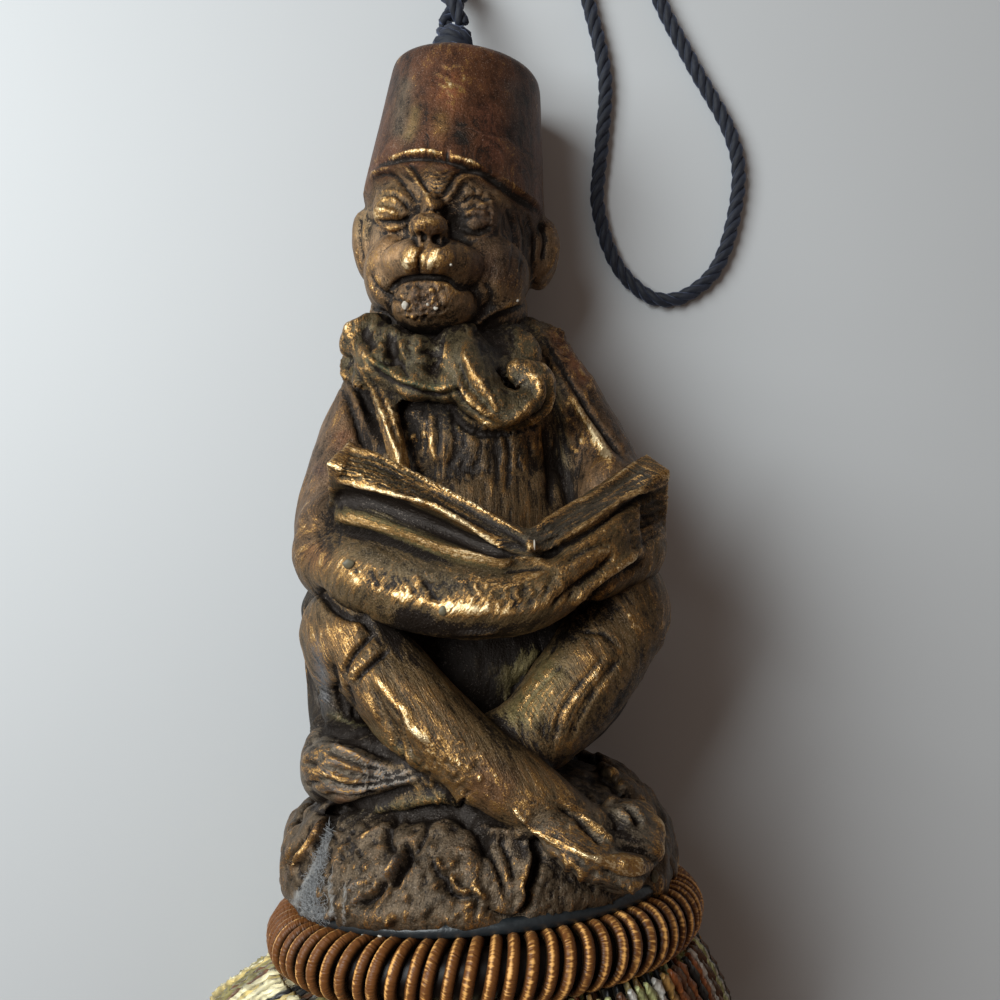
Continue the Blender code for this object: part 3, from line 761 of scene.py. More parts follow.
@dataclass(frozen=True)
class Board:
    """One half of the open book, from its outer top end to the spine."""

    region: Region
    outer: Triple
    spine: Triple
    lean: Triple
    height: float
    thick: float
    thin: float

    def frame(self) -> tuple[np.ndarray, np.ndarray, float]:
        """The half's axes as rows, its middle and its length."""
        outer, spine, lean = (np.array(v, float) for v in (self.outer, self.spine, self.lean))
        along = unit(spine - outer)
        up = unit(lean - along * (lean @ along))
        return (np.array([along, np.cross(up, along), up]),
                (outer + spine) / 2 - up * self.height / 2,
                float(np.linalg.norm(spine - outer)) + 2.0)

    def shape(self, shapes: Shapes) -> None:
        """Adds the form to the shapes."""
        axes, middle, length = self.frame()
        corners = np.array([(x, y, z) for x in (-.5, .5) for y in (-.5, .5)
                            for z in (-.5, .5)])
        size = np.array([length, self.thick, self.height])
        size = np.where(corners[:, :1] > 0, size * (1, self.thin / self.thick, 1), size)
        faces = [(0, 1, 3, 2), (4, 6, 7, 5), (0, 4, 5, 1), (2, 3, 7, 6), (0, 2, 6, 4),
                 (1, 5, 7, 3)]
        shapes.add(corners * size @ axes + middle, faces)

    def distance(self, points: np.ndarray) -> np.ndarray:
        """About how far each point is outside the form."""
        axes, middle, length = self.frame()
        local = np.abs((points - middle) @ axes.T)
        size = np.array([length, (self.thick + self.thin) / 2, self.height]) / 2
        return np.linalg.norm(np.maximum(local - size, 0), axis=1)


@dataclass(frozen=True)
class Loft:
    """A skin between rings of points, closed at both ends or round on itself."""

    region: Region
    rings: np.ndarray
    closed: bool = False

    def shape(self, shapes: Shapes) -> None:
        """Adds the form to the shapes."""
        count, sides, _ = self.rings.shape
        ring = np.arange(count if self.closed else count - 1)[:, None] * sides
        side, after = np.arange(sides)[None], (np.arange(sides)[None] + 1) % sides
        above = (ring + sides) % (count * sides)
        quads = np.stack([ring + side, ring + after, above + after, above + side], -1)
        faces = [quads.reshape(-1, 4)]
        if not self.closed:
            ends = np.arange(sides)
            faces.append(np.array([ends[::-1], ends + (count - 1) * sides]))
        shapes.add(self.rings.reshape(-1, 3), *faces)

    def distance(self, points: np.ndarray) -> np.ndarray:
        """About how far each point is from the form's own points."""
        coarse = self.rings[:, ::4].reshape(-1, 3)
        best = np.full(len(points), 1e3)
        for point in coarse:
            best = np.minimum(best, ((points - point) ** 2).sum(1))
        return np.sqrt(best) - 0.8


Form = Union[Ball, Limb, Board, Loft]


@cache
def unit_ball() -> tuple[np.ndarray, np.ndarray]:
    """A finely divided ball of radius 1, as its points and three-sided faces."""
    shape = bmesh.new()
    bmesh.ops.create_icosphere(shape, subdivisions=4, radius=1.0)
    points = np.array([point.co for point in shape.verts])
    faces = np.array([[point.index for point in face.verts] for face in shape.faces])
    shape.free()
    return points, faces


def balls(region: Region, *rows: Sequence[float]) -> list[Form]:
    """Balls of one region, from rows of their middle, their radii and how they are turned."""
    return [Ball(region, row[:3], row[3:6], row[6:] or (0, 0, 0)) for row in rows]


def limb(region: Region, *stations: tuple[float, float, float, float]) -> Limb:
    """A limb through its stations."""
    return Limb(region, stations)


HAT = (
    (-2.6, 0.9, 99, 12.6, 0, 0), (-2.6, 0.6, 104.6, 14.3, -6, 9.5),
    (-2.6, 0.6, 105, 14.6, -6, 9.5), (-2.55, 0.6, 105.9, 14.5, -6, 9.5),
    (-1.3, 0.5, 117, 13.2, 2, 8.8), (-0.2, 0.3, 126.6, 12.1, 9, 8.4),
    (-0.1, 0.3, 128, 11.8, 9, 8.4), (0, 0.3, 128.9, 11, 9, 8.4),
    (0, 0.3, 129.3, 9.6, 9, 8.4), (0, 0.3, 129.5, 6, 9, 8.4))
MOUND = ((0.01, 22.7), (9, 22), (17.5, 19.8), (22.8, 16.8), (25.5, 13.2), (26.8, 9.8),
         (27.1, 7.6), (26.6, 6.2), (24.9, 5), (23.2, 4.3), (21.2, 3.2), (21.2, -2),
         (0.01, -2))
MOUND_CENTRE = (-0.8, 0)
RUFF_PLEATS = 11
RUFF_CENTRE = (-3.6, -0.3)
RUFF_THICK = 3.2
BOOK_SPINE = (7.0, -25.0, 50.2)
BOOK_LEAN = (0.0, -0.78, 0.62)


def hat_form() -> Loft:
    """The fez. Returns a loft between tilted rings."""
    outline = round_outline(64)
    rings = []
    for x, y, z, radius, lean_x, lean_y in HAT:
        flat = np.concatenate([outline * radius, np.zeros((64, 1))], 1)
        rings.append(flat @ turned((lean_x, lean_y, 0)).T + (x, y, z))
    return Loft(Region.FEZ, np.array(rings))


def ruff_form(sides: int = 160, rings: int = 5) -> Loft:
    """The pleated collar. Returns its upper face outwards and its lower face back."""
    turn = math.tau * np.arange(sides) / sides
    front = np.maximum(0.0, -np.sin(turn)) ** 1.3
    pleat = np.cos(RUFF_PLEATS * turn + 0.9)
    order = [(k / (rings - 1), 0.0) for k in range(rings)]
    order += [(1 - k / (rings - 1), RUFF_THICK) for k in range(rings)]
    made = []
    for out, under in order:
        ragged = 1.0 + out * (0.06 * pleat + 0.05 * np.sin(5 * turn + 1.0))
        reach = (8.5 + 8.0 * out) * ragged
        height = 87.5 - 3.5 * front + 1.4 * np.cos(turn)
        height -= out * (3.4 + 5.4 * front) + out * out * 1.2 - 0.5 * out * pleat
        made.append(np.stack([RUFF_CENTRE[0] + reach * np.cos(turn),
                              RUFF_CENTRE[1] + reach * np.sin(turn) * (0.92 - 0.06 * front),
                              height - under], 1))
    return Loft(Region.RUFF, np.array(made), closed=True)


def mound_form(sides: int = 96) -> Loft:
    """The mound, in the frame of the ring that it sits in. Returns it in the axis' frame."""
    outline = round_outline(sides)
    rings = np.array([np.concatenate([outline * radius, np.full((sides, 1), height)], 1)
                      for radius, height in MOUND[::-1]])
    skewed = rings @ turned((0, -RING_SKEW_DEG, 0)).T
    return Loft(Region.MOUND, skewed + (*MOUND_CENTRE, RING_DROP))


def finger_forms() -> list[Form]:
    """The hand's fingers and the right foot's toes."""
    made: list[Form] = []
    for k in range(4):
        height = 44.4 + 2.0 * k
        made.append(Limb(Region.FUR, ((11.5, -23.0, height - 1.0, 1.8),
                                      (16.2, -22.0, height + 1.6, 1.7),
                                      (20.6, -19.2, height + 4.6, 1.4))))
    root = np.array((11.8, -21.0, 13.4))
    for k in range(4):
        share = k / 3
        tip = np.array((20.0, -18.0, 15.7)) * (1 - share) + np.array((18.4, -22.6, 10.4)) * share
        tip[0] += 1.6 * math.sin(math.pi * share)
        bend = root + (tip - root) * 0.55 + (0.3, -0.9, 0.4)
        made.append(Limb(Region.FOOT, ((*root, 2.6), (*bend, 2.2), (*tip, 2.0 + 0.1 * k))))
    made.append(Limb(Region.FOOT, ((8, -23.3, 15.6, 2.6), (12.5, -25.4, 12.2, 2.5),
                                   (17.6, -24.8, 10.4, 2.3))))
    return made


def leaf_forms() -> list[Form]:
    """The leaves round the mound, but for those that are drawn on its front."""
    made: list[Form] = []
    rng = np.random.default_rng(23)
    heights, radii = (4.3, 7.6, 9.8, 13.2, 16.8, 19.8), (23.2, 26.6, 26.3, 25.0, 22.3, 17.0)
    for height, tilt, first, last, count in ((8.6, 4, -28, 203, 12), (13.2, 26, -34, 212, 11),
                                             (17.4, 48, -20, 200, 9)):
        for angle in np.linspace(first, last, count) + rng.uniform(-5, 5, count):
            up = height + rng.uniform(-0.7, 0.7)
            out = float(np.interp(up, heights, radii)) - RING_DROP * 0.1
            turn = (tilt, rng.uniform(-24, 24), angle - 90)
            size = rng.uniform(0.85, 1.15)
            axes = turned(turn)
            middle = np.array((out * math.cos(math.radians(angle)) + MOUND_CENTRE[0],
                               out * math.sin(math.radians(angle)), up))
            made.append(Ball(Region.MOUND, tuple(middle), (2.6 * size, 1.5, 5.2 * size), turn))
            for side, rise, wide in ((-1, 1.8, 2.0), (1, 1.6, 2.0), (-1, -1.6, 2.3),
                                     (1, -1.9, 2.2)):
                shift = axes @ (side * 2.3 * size, -0.1, rise * size)
                made.append(Ball(Region.MOUND, tuple(middle + shift),
                                 (wide * size, 1.2, 1.7 * size), turn))
    return made


HEAD_FORMS: list[Form] = [
    *balls(Region.FACE, (-3, 0, 82, 10, 9.5, 9), (-3.2, 0.3, 97.5, 13, 12.6, 14.5),
           (-3.6, -1, 88, 12.2, 11.3, 8.5), (-4.6, -7.2, 102.2, 10, 5.5, 4.4, 0, 6, 0),
           (-11.4, -7.2, 91.8, 4.5, 5.4, 6.2), (2.4, -7.4, 91.2, 6.4, 5.8, 6.2),
           (-5.2, -11.2, 91.2, 7.8, 6.7, 4.1, 0, 6, 0), (-7.1, -16.2, 90.9, 2.4, 2.2, 2.3, 0, 8, 0),
           (-3.8, -16.4, 90.7, 2.4, 2.2, 2.3, 0, -8, 0), (-5.2, -11, 85.6, 6.2, 5.3, 3.8),
           (-5.5, -16.7, 95.1, 2.8, 2.4, 2.1), (-5.2, -12.8, 98.8, 1.8, 2.1, 3),
           (-10.3, -10, 100.6, 3.9, 2.2, 3), (0.8, -10.2, 99.2, 4, 2.1, 3.1),
           (-16.4, 1.5, 100.2, 2.4, 4, 6.2, 0, -10, 20),
           (11.2, 1.7, 98.4, 2.5, 4, 5.8, 0, 12, -20)),
    hat_form(),
]
COAT_FORMS: list[Form] = [
    *balls(Region.COAT, (-1, 1, 52, 18.5, 14.5, 18), (-2, 1, 67, 16.5, 13, 17),
           (-3, 0, 82, 10, 9.5, 9)),
    *balls(Region.SLEEVE, (-19.8, -8, 52, 6, 7, 8), (19.6, -6, 57, 5.6, 7, 8)),
    limb(Region.SLEEVE, (-14.5, 1, 77.5, 5.4), (-18, -1, 68, 5.8), (-19.9, -4, 58, 6.2),
         (-19.6, -9, 50.5, 6.2)),
    limb(Region.SLEEVE, (10.5, 1, 80, 5.4), (14.7, -0.5, 72, 5.7), (18.2, -3, 63.5, 5.8),
         (20.2, -8, 55.5, 5.3)),
    limb(Region.FUR, (-19.3, -10, 49.5, 5.9), (-12, -17.2, 46, 5.6), (-2, -21.4, 43.2, 5.2),
         (7, -22.6, 43.4, 4.6), (13.5, -21.6, 46.6, 3.5)),
    limb(Region.FUR, (21, -8, 54, 5.2), (21, -13, 49.5, 4.9), (15.5, -18.5, 46.5, 4)),
    limb(Region.RUFF, (-1.6, -9.5, 80, 3.6), (-0.6, -13.4, 75.6, 4), (1.4, -15.8, 71, 3.3),
         (4.8, -16.3, 68.6, 2.7), (8.6, -15.4, 69.8, 2.5), (9.2, -14.8, 73.2, 2.3),
         (6.8, -15, 74.4, 1.9)),
    limb(Region.COAT, (-13.5, -6, 80.5, 1.6), (-12.8, -10.4, 73.5, 1.7), (-11, -12.8, 66, 1.5),
         (-9.6, -13.6, 60, 1.3)),
    Board(Region.BOOK, (-16.8, -20, 62.6), BOOK_SPINE, BOOK_LEAN, 13, 5.4, 3),
    Board(Region.BOOK, (24, -18.6, 60.4), BOOK_SPINE, BOOK_LEAN, 12.5, 4.8, 3),
    limb(Region.BOOK, (-17.3, -15.2, 55.2, 1.6), (-12.5, -17.5, 54, 1.8), (-8.7, -18.6, 51.9, 1.9),
         (-4.5, -21.3, 49.2, 1.9), (-0.3, -23.6, 47.8, 1.7), (3.3, -25, 46.8, 1.3)),
    limb(Region.BOOK, (-12.5, -15, 56.6, 1.8), (-8.3, -16.4, 54.2, 1.9), (-4, -19.2, 51, 1.9),
         (-0.3, -21.6, 49.3, 1.7), (3, -23.6, 47.9, 1.3)),
    limb(Region.RUFF, (-15.6, -9.2, 80, 1.8), (-14.7, -10.6, 78.5, 1.9), (-13, -11.6, 76.7, 2.3),
         (-10.5, -12.4, 75, 1.9), (-7.5, -13.9, 73.3, 2.4), (-5.2, -14.2, 72.7, 1.9),
         (-1.9, -15.9, 72.4, 2)),
    *balls(Region.RUFF, (-15.6, -7.6, 82.6, 4.4, 2.8, 2.7, 0, -38, 0),
           (-11.5, -9.8, 80, 3.6, 2.6, 3.4), (-7.6, -11.6, 77.6, 3.6, 2.8, 3.6)),
    ruff_form(), *finger_forms()[:4],
]
LEG_FORMS: list[Form] = [
    *balls(Region.SEAT, (1, 4, 34, 22.5, 15, 16)),
    *balls(Region.LEG, (-18, -10, 38.6, 6, 7.8, 8.4)),
    limb(Region.SEAT, (-20.2, -3, 43, 5.4), (-19.6, -4, 33, 5.2), (-18.6, -6, 24, 5)),
    limb(Region.SEAT, (-18.6, -9, 37, 3.4), (-18.2, -11.5, 31, 3.4), (-17, -12, 25.5, 3)),
    *balls(Region.LEG, (20, -9, 42, 6.6, 8.5, 8)),
    *balls(Region.FOOT, (-15.2, -12.4, 21.4, 8.6, 6.2, 5.2, 0, 10, 16),
           (-20.6, -9.2, 21.8, 4, 5.4, 5.4), (12, -21.2, 13.8, 9.6, 4.6, 4.2, 0, 36, -8)),
    limb(Region.LEG, (-8, 3, 36, 9), (-17.7, -10, 39.5, 6.8)),
    limb(Region.LEG, (8, 3, 36, 9), (19.6, -8, 41.5, 7.4)),
    limb(Region.LEG, (-15.8, -14, 38, 5.9), (-8.8, -18.4, 30.4, 5.6), (-0.8, -20.8, 23.7, 4.9),
         (6.5, -21.5, 18.4, 4.5), (12, -21.5, 14.2, 4.1)),
    limb(Region.LEG, (19.2, -11, 39.5, 6.6), (13.2, -14.5, 31.8, 6.4), (6.5, -16, 25.5, 5.4),
         (-3, -16.5, 22.2, 4.6), (-12, -14, 20.8, 4.6)),
    limb(Region.LEG, (-20.6, -12.4, 34.6, 2), (-16, -17.6, 34, 2), (-11.4, -19.2, 36.6, 1.8)),
    *finger_forms()[4:],
]
MOUND_FORMS: list[Form] = [mound_form(), *leaf_forms()]


# ---------------------------------------------------------------- carving

class Cut(Enum):
    """The marks on the casting's front: cuts, paint and dust, with painted light and shade in places.
    """

    GROOVE = "groove"
    RIDGE = "ridge"
    STAIN_AND_SHADING = "stain_and_shading"
    DUST = "dust"


@dataclass(frozen=True)
class Mark:
    """A mark along a line of the front drawing, which is 1000 units wide.

    Its width is in units of the drawing and its depth in millimetres, or a share for dust.
    Gold and dark are added to its paint, and its tone covers a share of what is under it. In places the
    dark is painted shade, and the gold or a light tone a painted highlight.
    """

    cut: Cut
    width: float
    depth: float
    line: Points
    gold: float = 0.0
    dark: float = 0.0
    tone: Optional[Triple] = None
    share: float = 0.6
    taper: bool = True


class FrontDrawing:
    """Where points show in a drawing of the front, made from an eye straight above it."""

    eye = (8.236, 48.995, 165.8)
    roll = math.radians(1.5)
    units = 950.0
    middle = 500.0
    cell = 2.0
    margin = 100
    cells_wide = 700

    def __init__(self) -> None:
        """Starts with nothing in front."""
        self.nearest = np.full((self.cells_wide, self.cells_wide), -1e3)

    def scale(self, height: Union[float, np.ndarray]) -> Union[float, np.ndarray]:
        """Units of the drawing to the millimetre at a height above the table."""
        return self.units / (self.eye[2] - height)

    def project(self, points: np.ndarray) -> np.ndarray:
        """Points of the row frame as they show in the drawing.

        Returns:
            Rows of right, down and height above the table.
        """
        x, y = points[:, 0] - self.eye[0], points[:, 1] - self.eye[1]
        cos, sin = math.cos(self.roll), math.sin(self.roll)
        scale = self.scale(points[:, 2])
        return np.stack([self.middle + scale * (x * cos - y * sin),
                         self.middle - scale * (x * sin + y * cos), points[:, 2]], 1)

    def cells(self, drawn: np.ndarray) -> tuple[np.ndarray, np.ndarray]:
        """The cell of the drawing that each point is in."""
        index = np.clip((drawn[:, :2] / self.cell + self.margin).astype(int), 0,
                        self.cells_wide - 1)
        return index[:, 0], index[:, 1]

    def lay(self, points: np.ndarray) -> None:
        """Notes what is nearest to the eye."""
        drawn = self.project(points)
        np.maximum.at(self.nearest, self.cells(drawn), drawn[:, 2])

    def raised(self, across: float, down: float, over: float = 0.0) -> np.ndarray:
        """The point of the row frame that shows at a place of the drawing, and lies over it."""
        (row,), (column,) = self.cells(np.array([[across, down, 0.0]]))
        height = self.nearest[row - 1:row + 2, column - 1:column + 2].max() + over
        scale = self.scale(height)
        right, up = (across - self.middle) / scale, (self.middle - down) / scale
        cos, sin = math.cos(self.roll), math.sin(self.roll)
        return np.array([right * cos + up * sin + self.eye[0],
                         up * cos - right * sin + self.eye[1], height])

    def shown(self, drawn: np.ndarray, deep: float = 1.6) -> np.ndarray:
        """1 for points that nothing is in front of, and 0 for the rest."""
        return (drawn[:, 2] > self.nearest[self.cells(drawn)] - deep).astype(float)


class Solid:
    """How full the space around a point is, at several reaches, over the whole casting."""

    voxel = 0.7
    room = 16
    far_out = 9.0

    def __init__(self, shapes: Shapes, reaches: Sequence[float]) -> None:
        """Fills a grid with the shapes and blurs it to each reach, in millimetres."""
        quads = np.vstack([group for group in shapes.faces if group.shape[1] == 4])
        triangles = [group[:, [0, k, k + 1]] for group in shapes.faces
                     if group.shape[1] != 4 for k in range(1, group.shape[1] - 1)]
        grid = openvdb.FloatGrid.createLevelSetFromPolygons(
            np.vstack(shapes.points), triangles=np.vstack(triangles).astype(np.uint32),
            quads=quads.astype(np.uint32), halfWidth=3.0,
            transform=openvdb.createLinearTransform(voxelSize=self.voxel))
        low, high = (np.array(corner) for corner in grid.evalActiveVoxelBoundingBox())
        self.origin = low - self.room
        values = np.full(high - low + 1 + 2 * self.room, self.far_out, np.float32)
        grid.copyToArray(values, ijk=tuple(map(int, self.origin)))
        full = np.clip(0.5 - values / self.voxel, 0, 1)
        self.levels = [self.blurred(full, reach / self.voxel) for reach in reaches]

    @staticmethod
    def blurred(values: np.ndarray, reach: float) -> np.ndarray:
        """The grid, averaged three times over boxes, for a bell of about this reach."""
        half = max(1, int(round(reach)))
        for axis in range(3):
            for _ in range(3):
                total = np.cumsum(values, axis=axis)
                high = np.roll(total, -half, axis=axis)
                low = np.roll(total, half + 1, axis=axis)
                values = (high - low) / (2 * half + 1)
        return values

    def around(self, points: np.ndarray, level: int) -> np.ndarray:
        """How full the space at each point is: 0.5 where flat, more in a hollow."""
        at = points / self.voxel - self.origin
        base = np.floor(at).astype(int)
        part = at - base
        grid = self.levels[level]
        found = np.zeros(len(points))
        for corner in np.ndindex(2, 2, 2):
            share = np.prod(np.where(corner, part, 1 - part), axis=1)
            i, j, k = (np.clip(base[:, n] + corner[n], 0, grid.shape[n] - 1)
                       for n in range(3))
            found += share * grid[i, j, k]
        return found


@dataclass
class Skin:
    """One piece of the casting while it is carved: its points, faces and paint."""

    name: str
    forms: list[Form]
    voxel: float
    smoothing: int
    points: np.ndarray = field(default=None, repr=False)
    faces: np.ndarray = field(default=None, repr=False)

    def fuse(self) -> None:
        """Makes one smooth skin over the forms."""
        shapes = Shapes()
        for form in self.forms:
            form.shape(shapes)
        data = shapes.mesh(self.name)
        obj = in_scene(self.name, data)
        remesh = obj.modifiers.new("fuse", "REMESH")
        remesh.mode = "VOXEL"
        remesh.voxel_size = self.voxel * MM
        soften = obj.modifiers.new("soften", "SMOOTH")
        soften.factor = 0.5
        soften.iterations = self.smoothing
        bpy.context.view_layer.update()
        made = obj.evaluated_get(bpy.context.evaluated_depsgraph_get()).to_mesh()
        points, faces = np.empty(len(made.vertices) * 3), np.empty(len(made.loops), int)
        made.vertices.foreach_get("co", points)
        made.loops.foreach_get("vertex_index", faces)
        self.points, self.faces = points.reshape(-1, 3) / MM, faces.reshape(-1, 4)
        bpy.data.objects.remove(obj, do_unlink=True)
        bpy.data.meshes.remove(data)

    def normals(self) -> np.ndarray:
        """The direction out of the skin at each point."""
        corner = self.points[self.faces]
        face = np.cross(corner[:, 2] - corner[:, 0], corner[:, 3] - corner[:, 1])
        total = np.zeros_like(self.points)
        for k in range(4):
            for axis in range(3):
                total[:, axis] += np.bincount(self.faces[:, k], face[:, axis],
                                              len(self.points))
        return unit(total)

    def averaged(self, rows: np.ndarray, times: int) -> np.ndarray:
        """Rows of values, one for each point, averaged over the point's neighbours."""
        ends = np.concatenate([self.faces[:, [k, (k + 1) % 4]] for k in range(4)])
        count = np.maximum(np.bincount(ends[:, 0], minlength=len(rows)), 1)
        for _ in range(times):
            rows = np.stack([np.bincount(ends[:, 0], values[ends[:, 1]], len(rows)) / count
                             for values in rows.T], 1)
        return rows

    def bend(self) -> np.ndarray:
        """How sharply the skin bends at each point, per millimetre: over 0 on a ridge."""
        over = ((self.points - self.averaged(self.points, 2)) * self.normals()).sum(1)
        return 2 * over / self.voxel ** 2


class Casting:
    """The cast head: a seated monkey in a fez that reads a book, on a leafy mound."""

    reaches = (1.2, 2.6, 6.0)
    full_depth = 0.5
    flat_fullness = 0.42

    def __init__(self, finish: GiltResin, marks: Sequence[Mark]) -> None:
        """Takes the finish and the marks carved and painted on the front."""
        self.finish = finish
        self.marks = marks
        coarse = 1.0
        self.skins = [Skin("head_and_fez", HEAD_FORMS, 0.315 * coarse, 16),
                      Skin("coat_and_book", COAT_FORMS, 0.44 * coarse, 8),
                      Skin("crossed_legs", LEG_FORMS, 0.38 * coarse, 12),
                      Skin("leafy_mound", MOUND_FORMS, 0.39 * coarse, 8)]
        self.drawing = FrontDrawing()

    def build(self) -> list[bpy.types.Object]:
        """Fuses, carves and paints the skins. Returns their pieces."""
        shapes = Shapes()
        for skin in self.skins:
            for form in skin.forms:
                form.shape(shapes)
        solid = Solid(shapes, self.reaches)
        for skin in self.skins:
            skin.fuse()
            self.drawing.lay(AXIS.points(skin.points))
        material = self.finish.material()
        return [self.dressed(skin, solid, material) for skin in self.skins]

    def dressed(self, skin: Skin, solid: Solid,
                material: bpy.types.Material) -> bpy.types.Object:
        """Carves and paints one skin.

        Args:
            skin: The fused skin.
            solid: How full the space around each point is.
            material: The casting's finish.
        Returns:
            The finished piece.
        """
        base = skin.points.copy()
        out = skin.normals()
        drawn = self.drawing.project(AXIS.points(base))
        facing = np.clip((out @ AXIS.matrix[:3, :3].T)[:, 2] * 2.0, 0, 1)
        shown = self.drawing.shown(drawn) * facing
        tone, gilt, hollow, relief, grain = self.painted(skin, base)
        rough = lumps(grain * 0.22, 1) + 0.6 * lumps(grain * 0.5, 2)
        gilt += rough * 0.22
        hollow -= rough * 0.25
        dust = np.zeros(len(base))
        push = relief * rough * 2.0
        for made in self.marks:
            where, strength = mark_at(made, drawn)
            strength = strength * shown[where]
            carved = min(1.0, made.depth / self.full_depth)
            if made.cut is Cut.GROOVE:
                push[where] -= made.depth * strength
                hollow[where] += 0.40 * carved * strength
            elif made.cut is Cut.RIDGE:
                push[where] += made.depth * strength
                gilt[where] += 0.12 * carved * strength
            elif made.cut is Cut.DUST:
                dust[where] += made.depth * strength
            # A mark's dark is in places painted shade, and its gold or tone in places a painted
            # highlight.
            gilt[where] += 0.8 * made.gold * strength
            hollow[where] += made.dark * strength
            if made.tone is not None:
                share = (made.share * strength)[:, None]
                tone[where] = tone[where] * (1 - share) + np.array(made.tone) * share
        skin.points = base + out * push[:, None]
        bend = np.clip(skin.bend(), -1, 1)
        fine, middle, wide = (solid.around(base + out * 0.3, k) - self.flat_fullness
                              for k in range(3))
        gilt += bend * 0.22 - fine * 0.4 - middle * 0.5
        hollow += -bend * 0.35 + fine * 1.0 + middle * 1.2 + wide * 0.9
        shapes = Shapes()
        shapes.add(skin.points, skin.faces, tint=colours(tone), gilt=gilt, hollow=hollow,
                   dust=dust, grain=grain)
        return piece(skin.name, shapes, material, "cast_figure", "gilt_resin", AXIS)

    @staticmethod
    def painted(skin: Skin, points: np.ndarray) -> tuple[np.ndarray, ...]:
        """What each region of the skin gives to its points.

        Returns:
            Their tone, gilding, darkness, roughness and grain.
        """
        grain = np.zeros((len(points), 3))
        values, total = np.zeros((len(points), 6)), np.zeros((len(points), 1))
        for form in skin.forms:
            paint = PAINTS[form.region]
            share = np.exp(-np.clip(form.distance(points), -2, 20) / 0.7)[:, None] + 1e-9
            along = unit(np.array(paint.along, float))
            run = (points @ along)[:, None] * along
            total += share
            values += share * (*paint.tone, paint.gilt, paint.hollow, paint.relief)
            grain += share * paint.pace * (points - run * (1 - paint.stretch))
        values /= total
        return values[:, :3], values[:, 3], values[:, 4], values[:, 5], grain / total


def mark_at(made: Mark, drawn: np.ndarray) -> tuple[np.ndarray, np.ndarray]:
    """Finds the points that a mark reaches.

    Args:
        made: The mark.
        drawn: Every point as it shows in the drawing.
    Returns:
        The points' numbers, and the mark's strength there.
    """
    line = np.array(made.line, float)
    if len(line) > 2:
        line = smooth_run(line, 4)
    reach = made.width * 2.2
    low, high = line.min(0) - reach, line.max(0) + reach
    inside = ((drawn[:, 0] > low[0]) & (drawn[:, 0] < high[0])
              & (drawn[:, 1] > low[1]) & (drawn[:, 1] < high[1]))
    where = np.nonzero(inside)[0]
    at = drawn[where, :2]
    if len(line) == 1:
        return where, bell(np.linalg.norm(at - line[0], axis=1), made.width)
    best = np.full(len(where), 1e6)
    run = np.zeros(len(where))
    reach_at = np.concatenate([[0], np.cumsum(np.linalg.norm(np.diff(line, axis=0), axis=1))])
    for k, (a, b) in enumerate(zip(line, line[1:])):
        along = b - a
        span = max(float(np.linalg.norm(along)), 1e-6)
        share = np.clip((at - a) @ along / span ** 2, 0, 1)
        away = np.linalg.norm(at - (a + share[:, None] * along), axis=1)
        closer = away < best
        best[closer] = away[closer]
        run[closer] = (reach_at[k] + share * span)[closer]
    strength = bell(best, made.width)
    if made.taper:
        part = run / max(reach_at[-1], 1e-6)
        strength = strength * np.clip(np.minimum(part, 1 - part) * 6 + 0.25, 0, 1)
    return where, strength


def traced(line: Line) -> Points:
    """The points of a line, which may be written as text, with across,down for each point."""
    if isinstance(line, str):
        return tuple(tuple(map(float, point.split(","))) for point in line.split())
    return tuple(line)


def marks(cut: Cut, width: float, depth: float, *lines: Line, **more: object) -> list[Mark]:
    """Marks of one kind along several lines. Returns one mark for each line."""
    return [Mark(cut, width, depth, traced(line), **more) for line in lines]


def stain_and_shading(width: float, *lines: Line, **more: object) -> list[Mark]:
    """Marks that change the paint but not the form: stains and tones, and in places painted light and
    shade.
    """
    return marks(Cut.STAIN_AND_SHADING, width, 0.0, *lines, **more)


groove, ridge, dust = (partial(marks, cut) for cut in (Cut.GROOVE, Cut.RIDGE, Cut.DUST))


def between(one: Line, other: Line, share: float) -> Points:
    """The line that lies this share of the way from one line to another."""
    a, b = (evenly(smooth_run(traced(line), 6), 9) for line in (one, other))
    return tuple(map(tuple, a * (1 - share) + b * share))


def crumbs(seed: int, middle: tuple[float, float], reach: tuple[float, float], count: int,
           width: float, depth: float, dash: tuple[float, float] = (0, 0),
           **more: object) -> list[Mark]:
    """Small bumps and pits, scattered over an oval of the drawing.

    Args:
        seed: The draw's seed.
        middle: The oval's middle.
        reach: Its two half widths.
        count: How many there are.
        width: The width of the widest.
        depth: The height of the highest.
        dash: How far a bump runs, if it is a short dash.
    Returns:
        The marks.
    """
    rng = np.random.default_rng(seed)
    made = []
    for _ in range(count):
        turn, out = rng.uniform(0, math.tau), math.sqrt(rng.uniform())
        x = middle[0] + reach[0] * out * math.cos(turn)
        y = middle[1] + reach[1] * out * math.sin(turn)
        size = rng.uniform(0.5, 1.0)
        bend = rng.uniform(-0.25, 0.25)
        line = [(x, y)]
        if any(dash):
            line.append((x + dash[0] * size - dash[1] * bend,
                         y + dash[1] * size + dash[0] * bend))
        cut = Cut.RIDGE if rng.uniform() < 0.5 else Cut.GROOVE
        made.append(Mark(cut, width * size, depth * size, tuple(line), **more))
    return made


def hatch(first: Line, last: Line, count: int, width: float, depth: float, seed: int,
          **more: object) -> list[Mark]:
    """Grooves side by side from a first line to a last one, a little uneven."""
    rng = np.random.default_rng(seed)
    made = []
    for k in range(count):
        share = (k + rng.uniform(-0.22, 0.22)) / (count - 1)
        made += groove(width * rng.uniform(0.8, 1.2), depth * rng.uniform(0.6, 1.2),
                       between(first, last, share), **more)
    return made


OLIVE, TAN, RUST = (0.115, 0.098, 0.042), (0.20, 0.125, 0.065), (0.185, 0.062, 0.024)
SILVER, NAVY, UMBER = (0.30, 0.27, 0.24), (0.013, 0.020, 0.026), (0.045, 0.028, 0.020)
MOSS = (0.075, 0.090, 0.045)

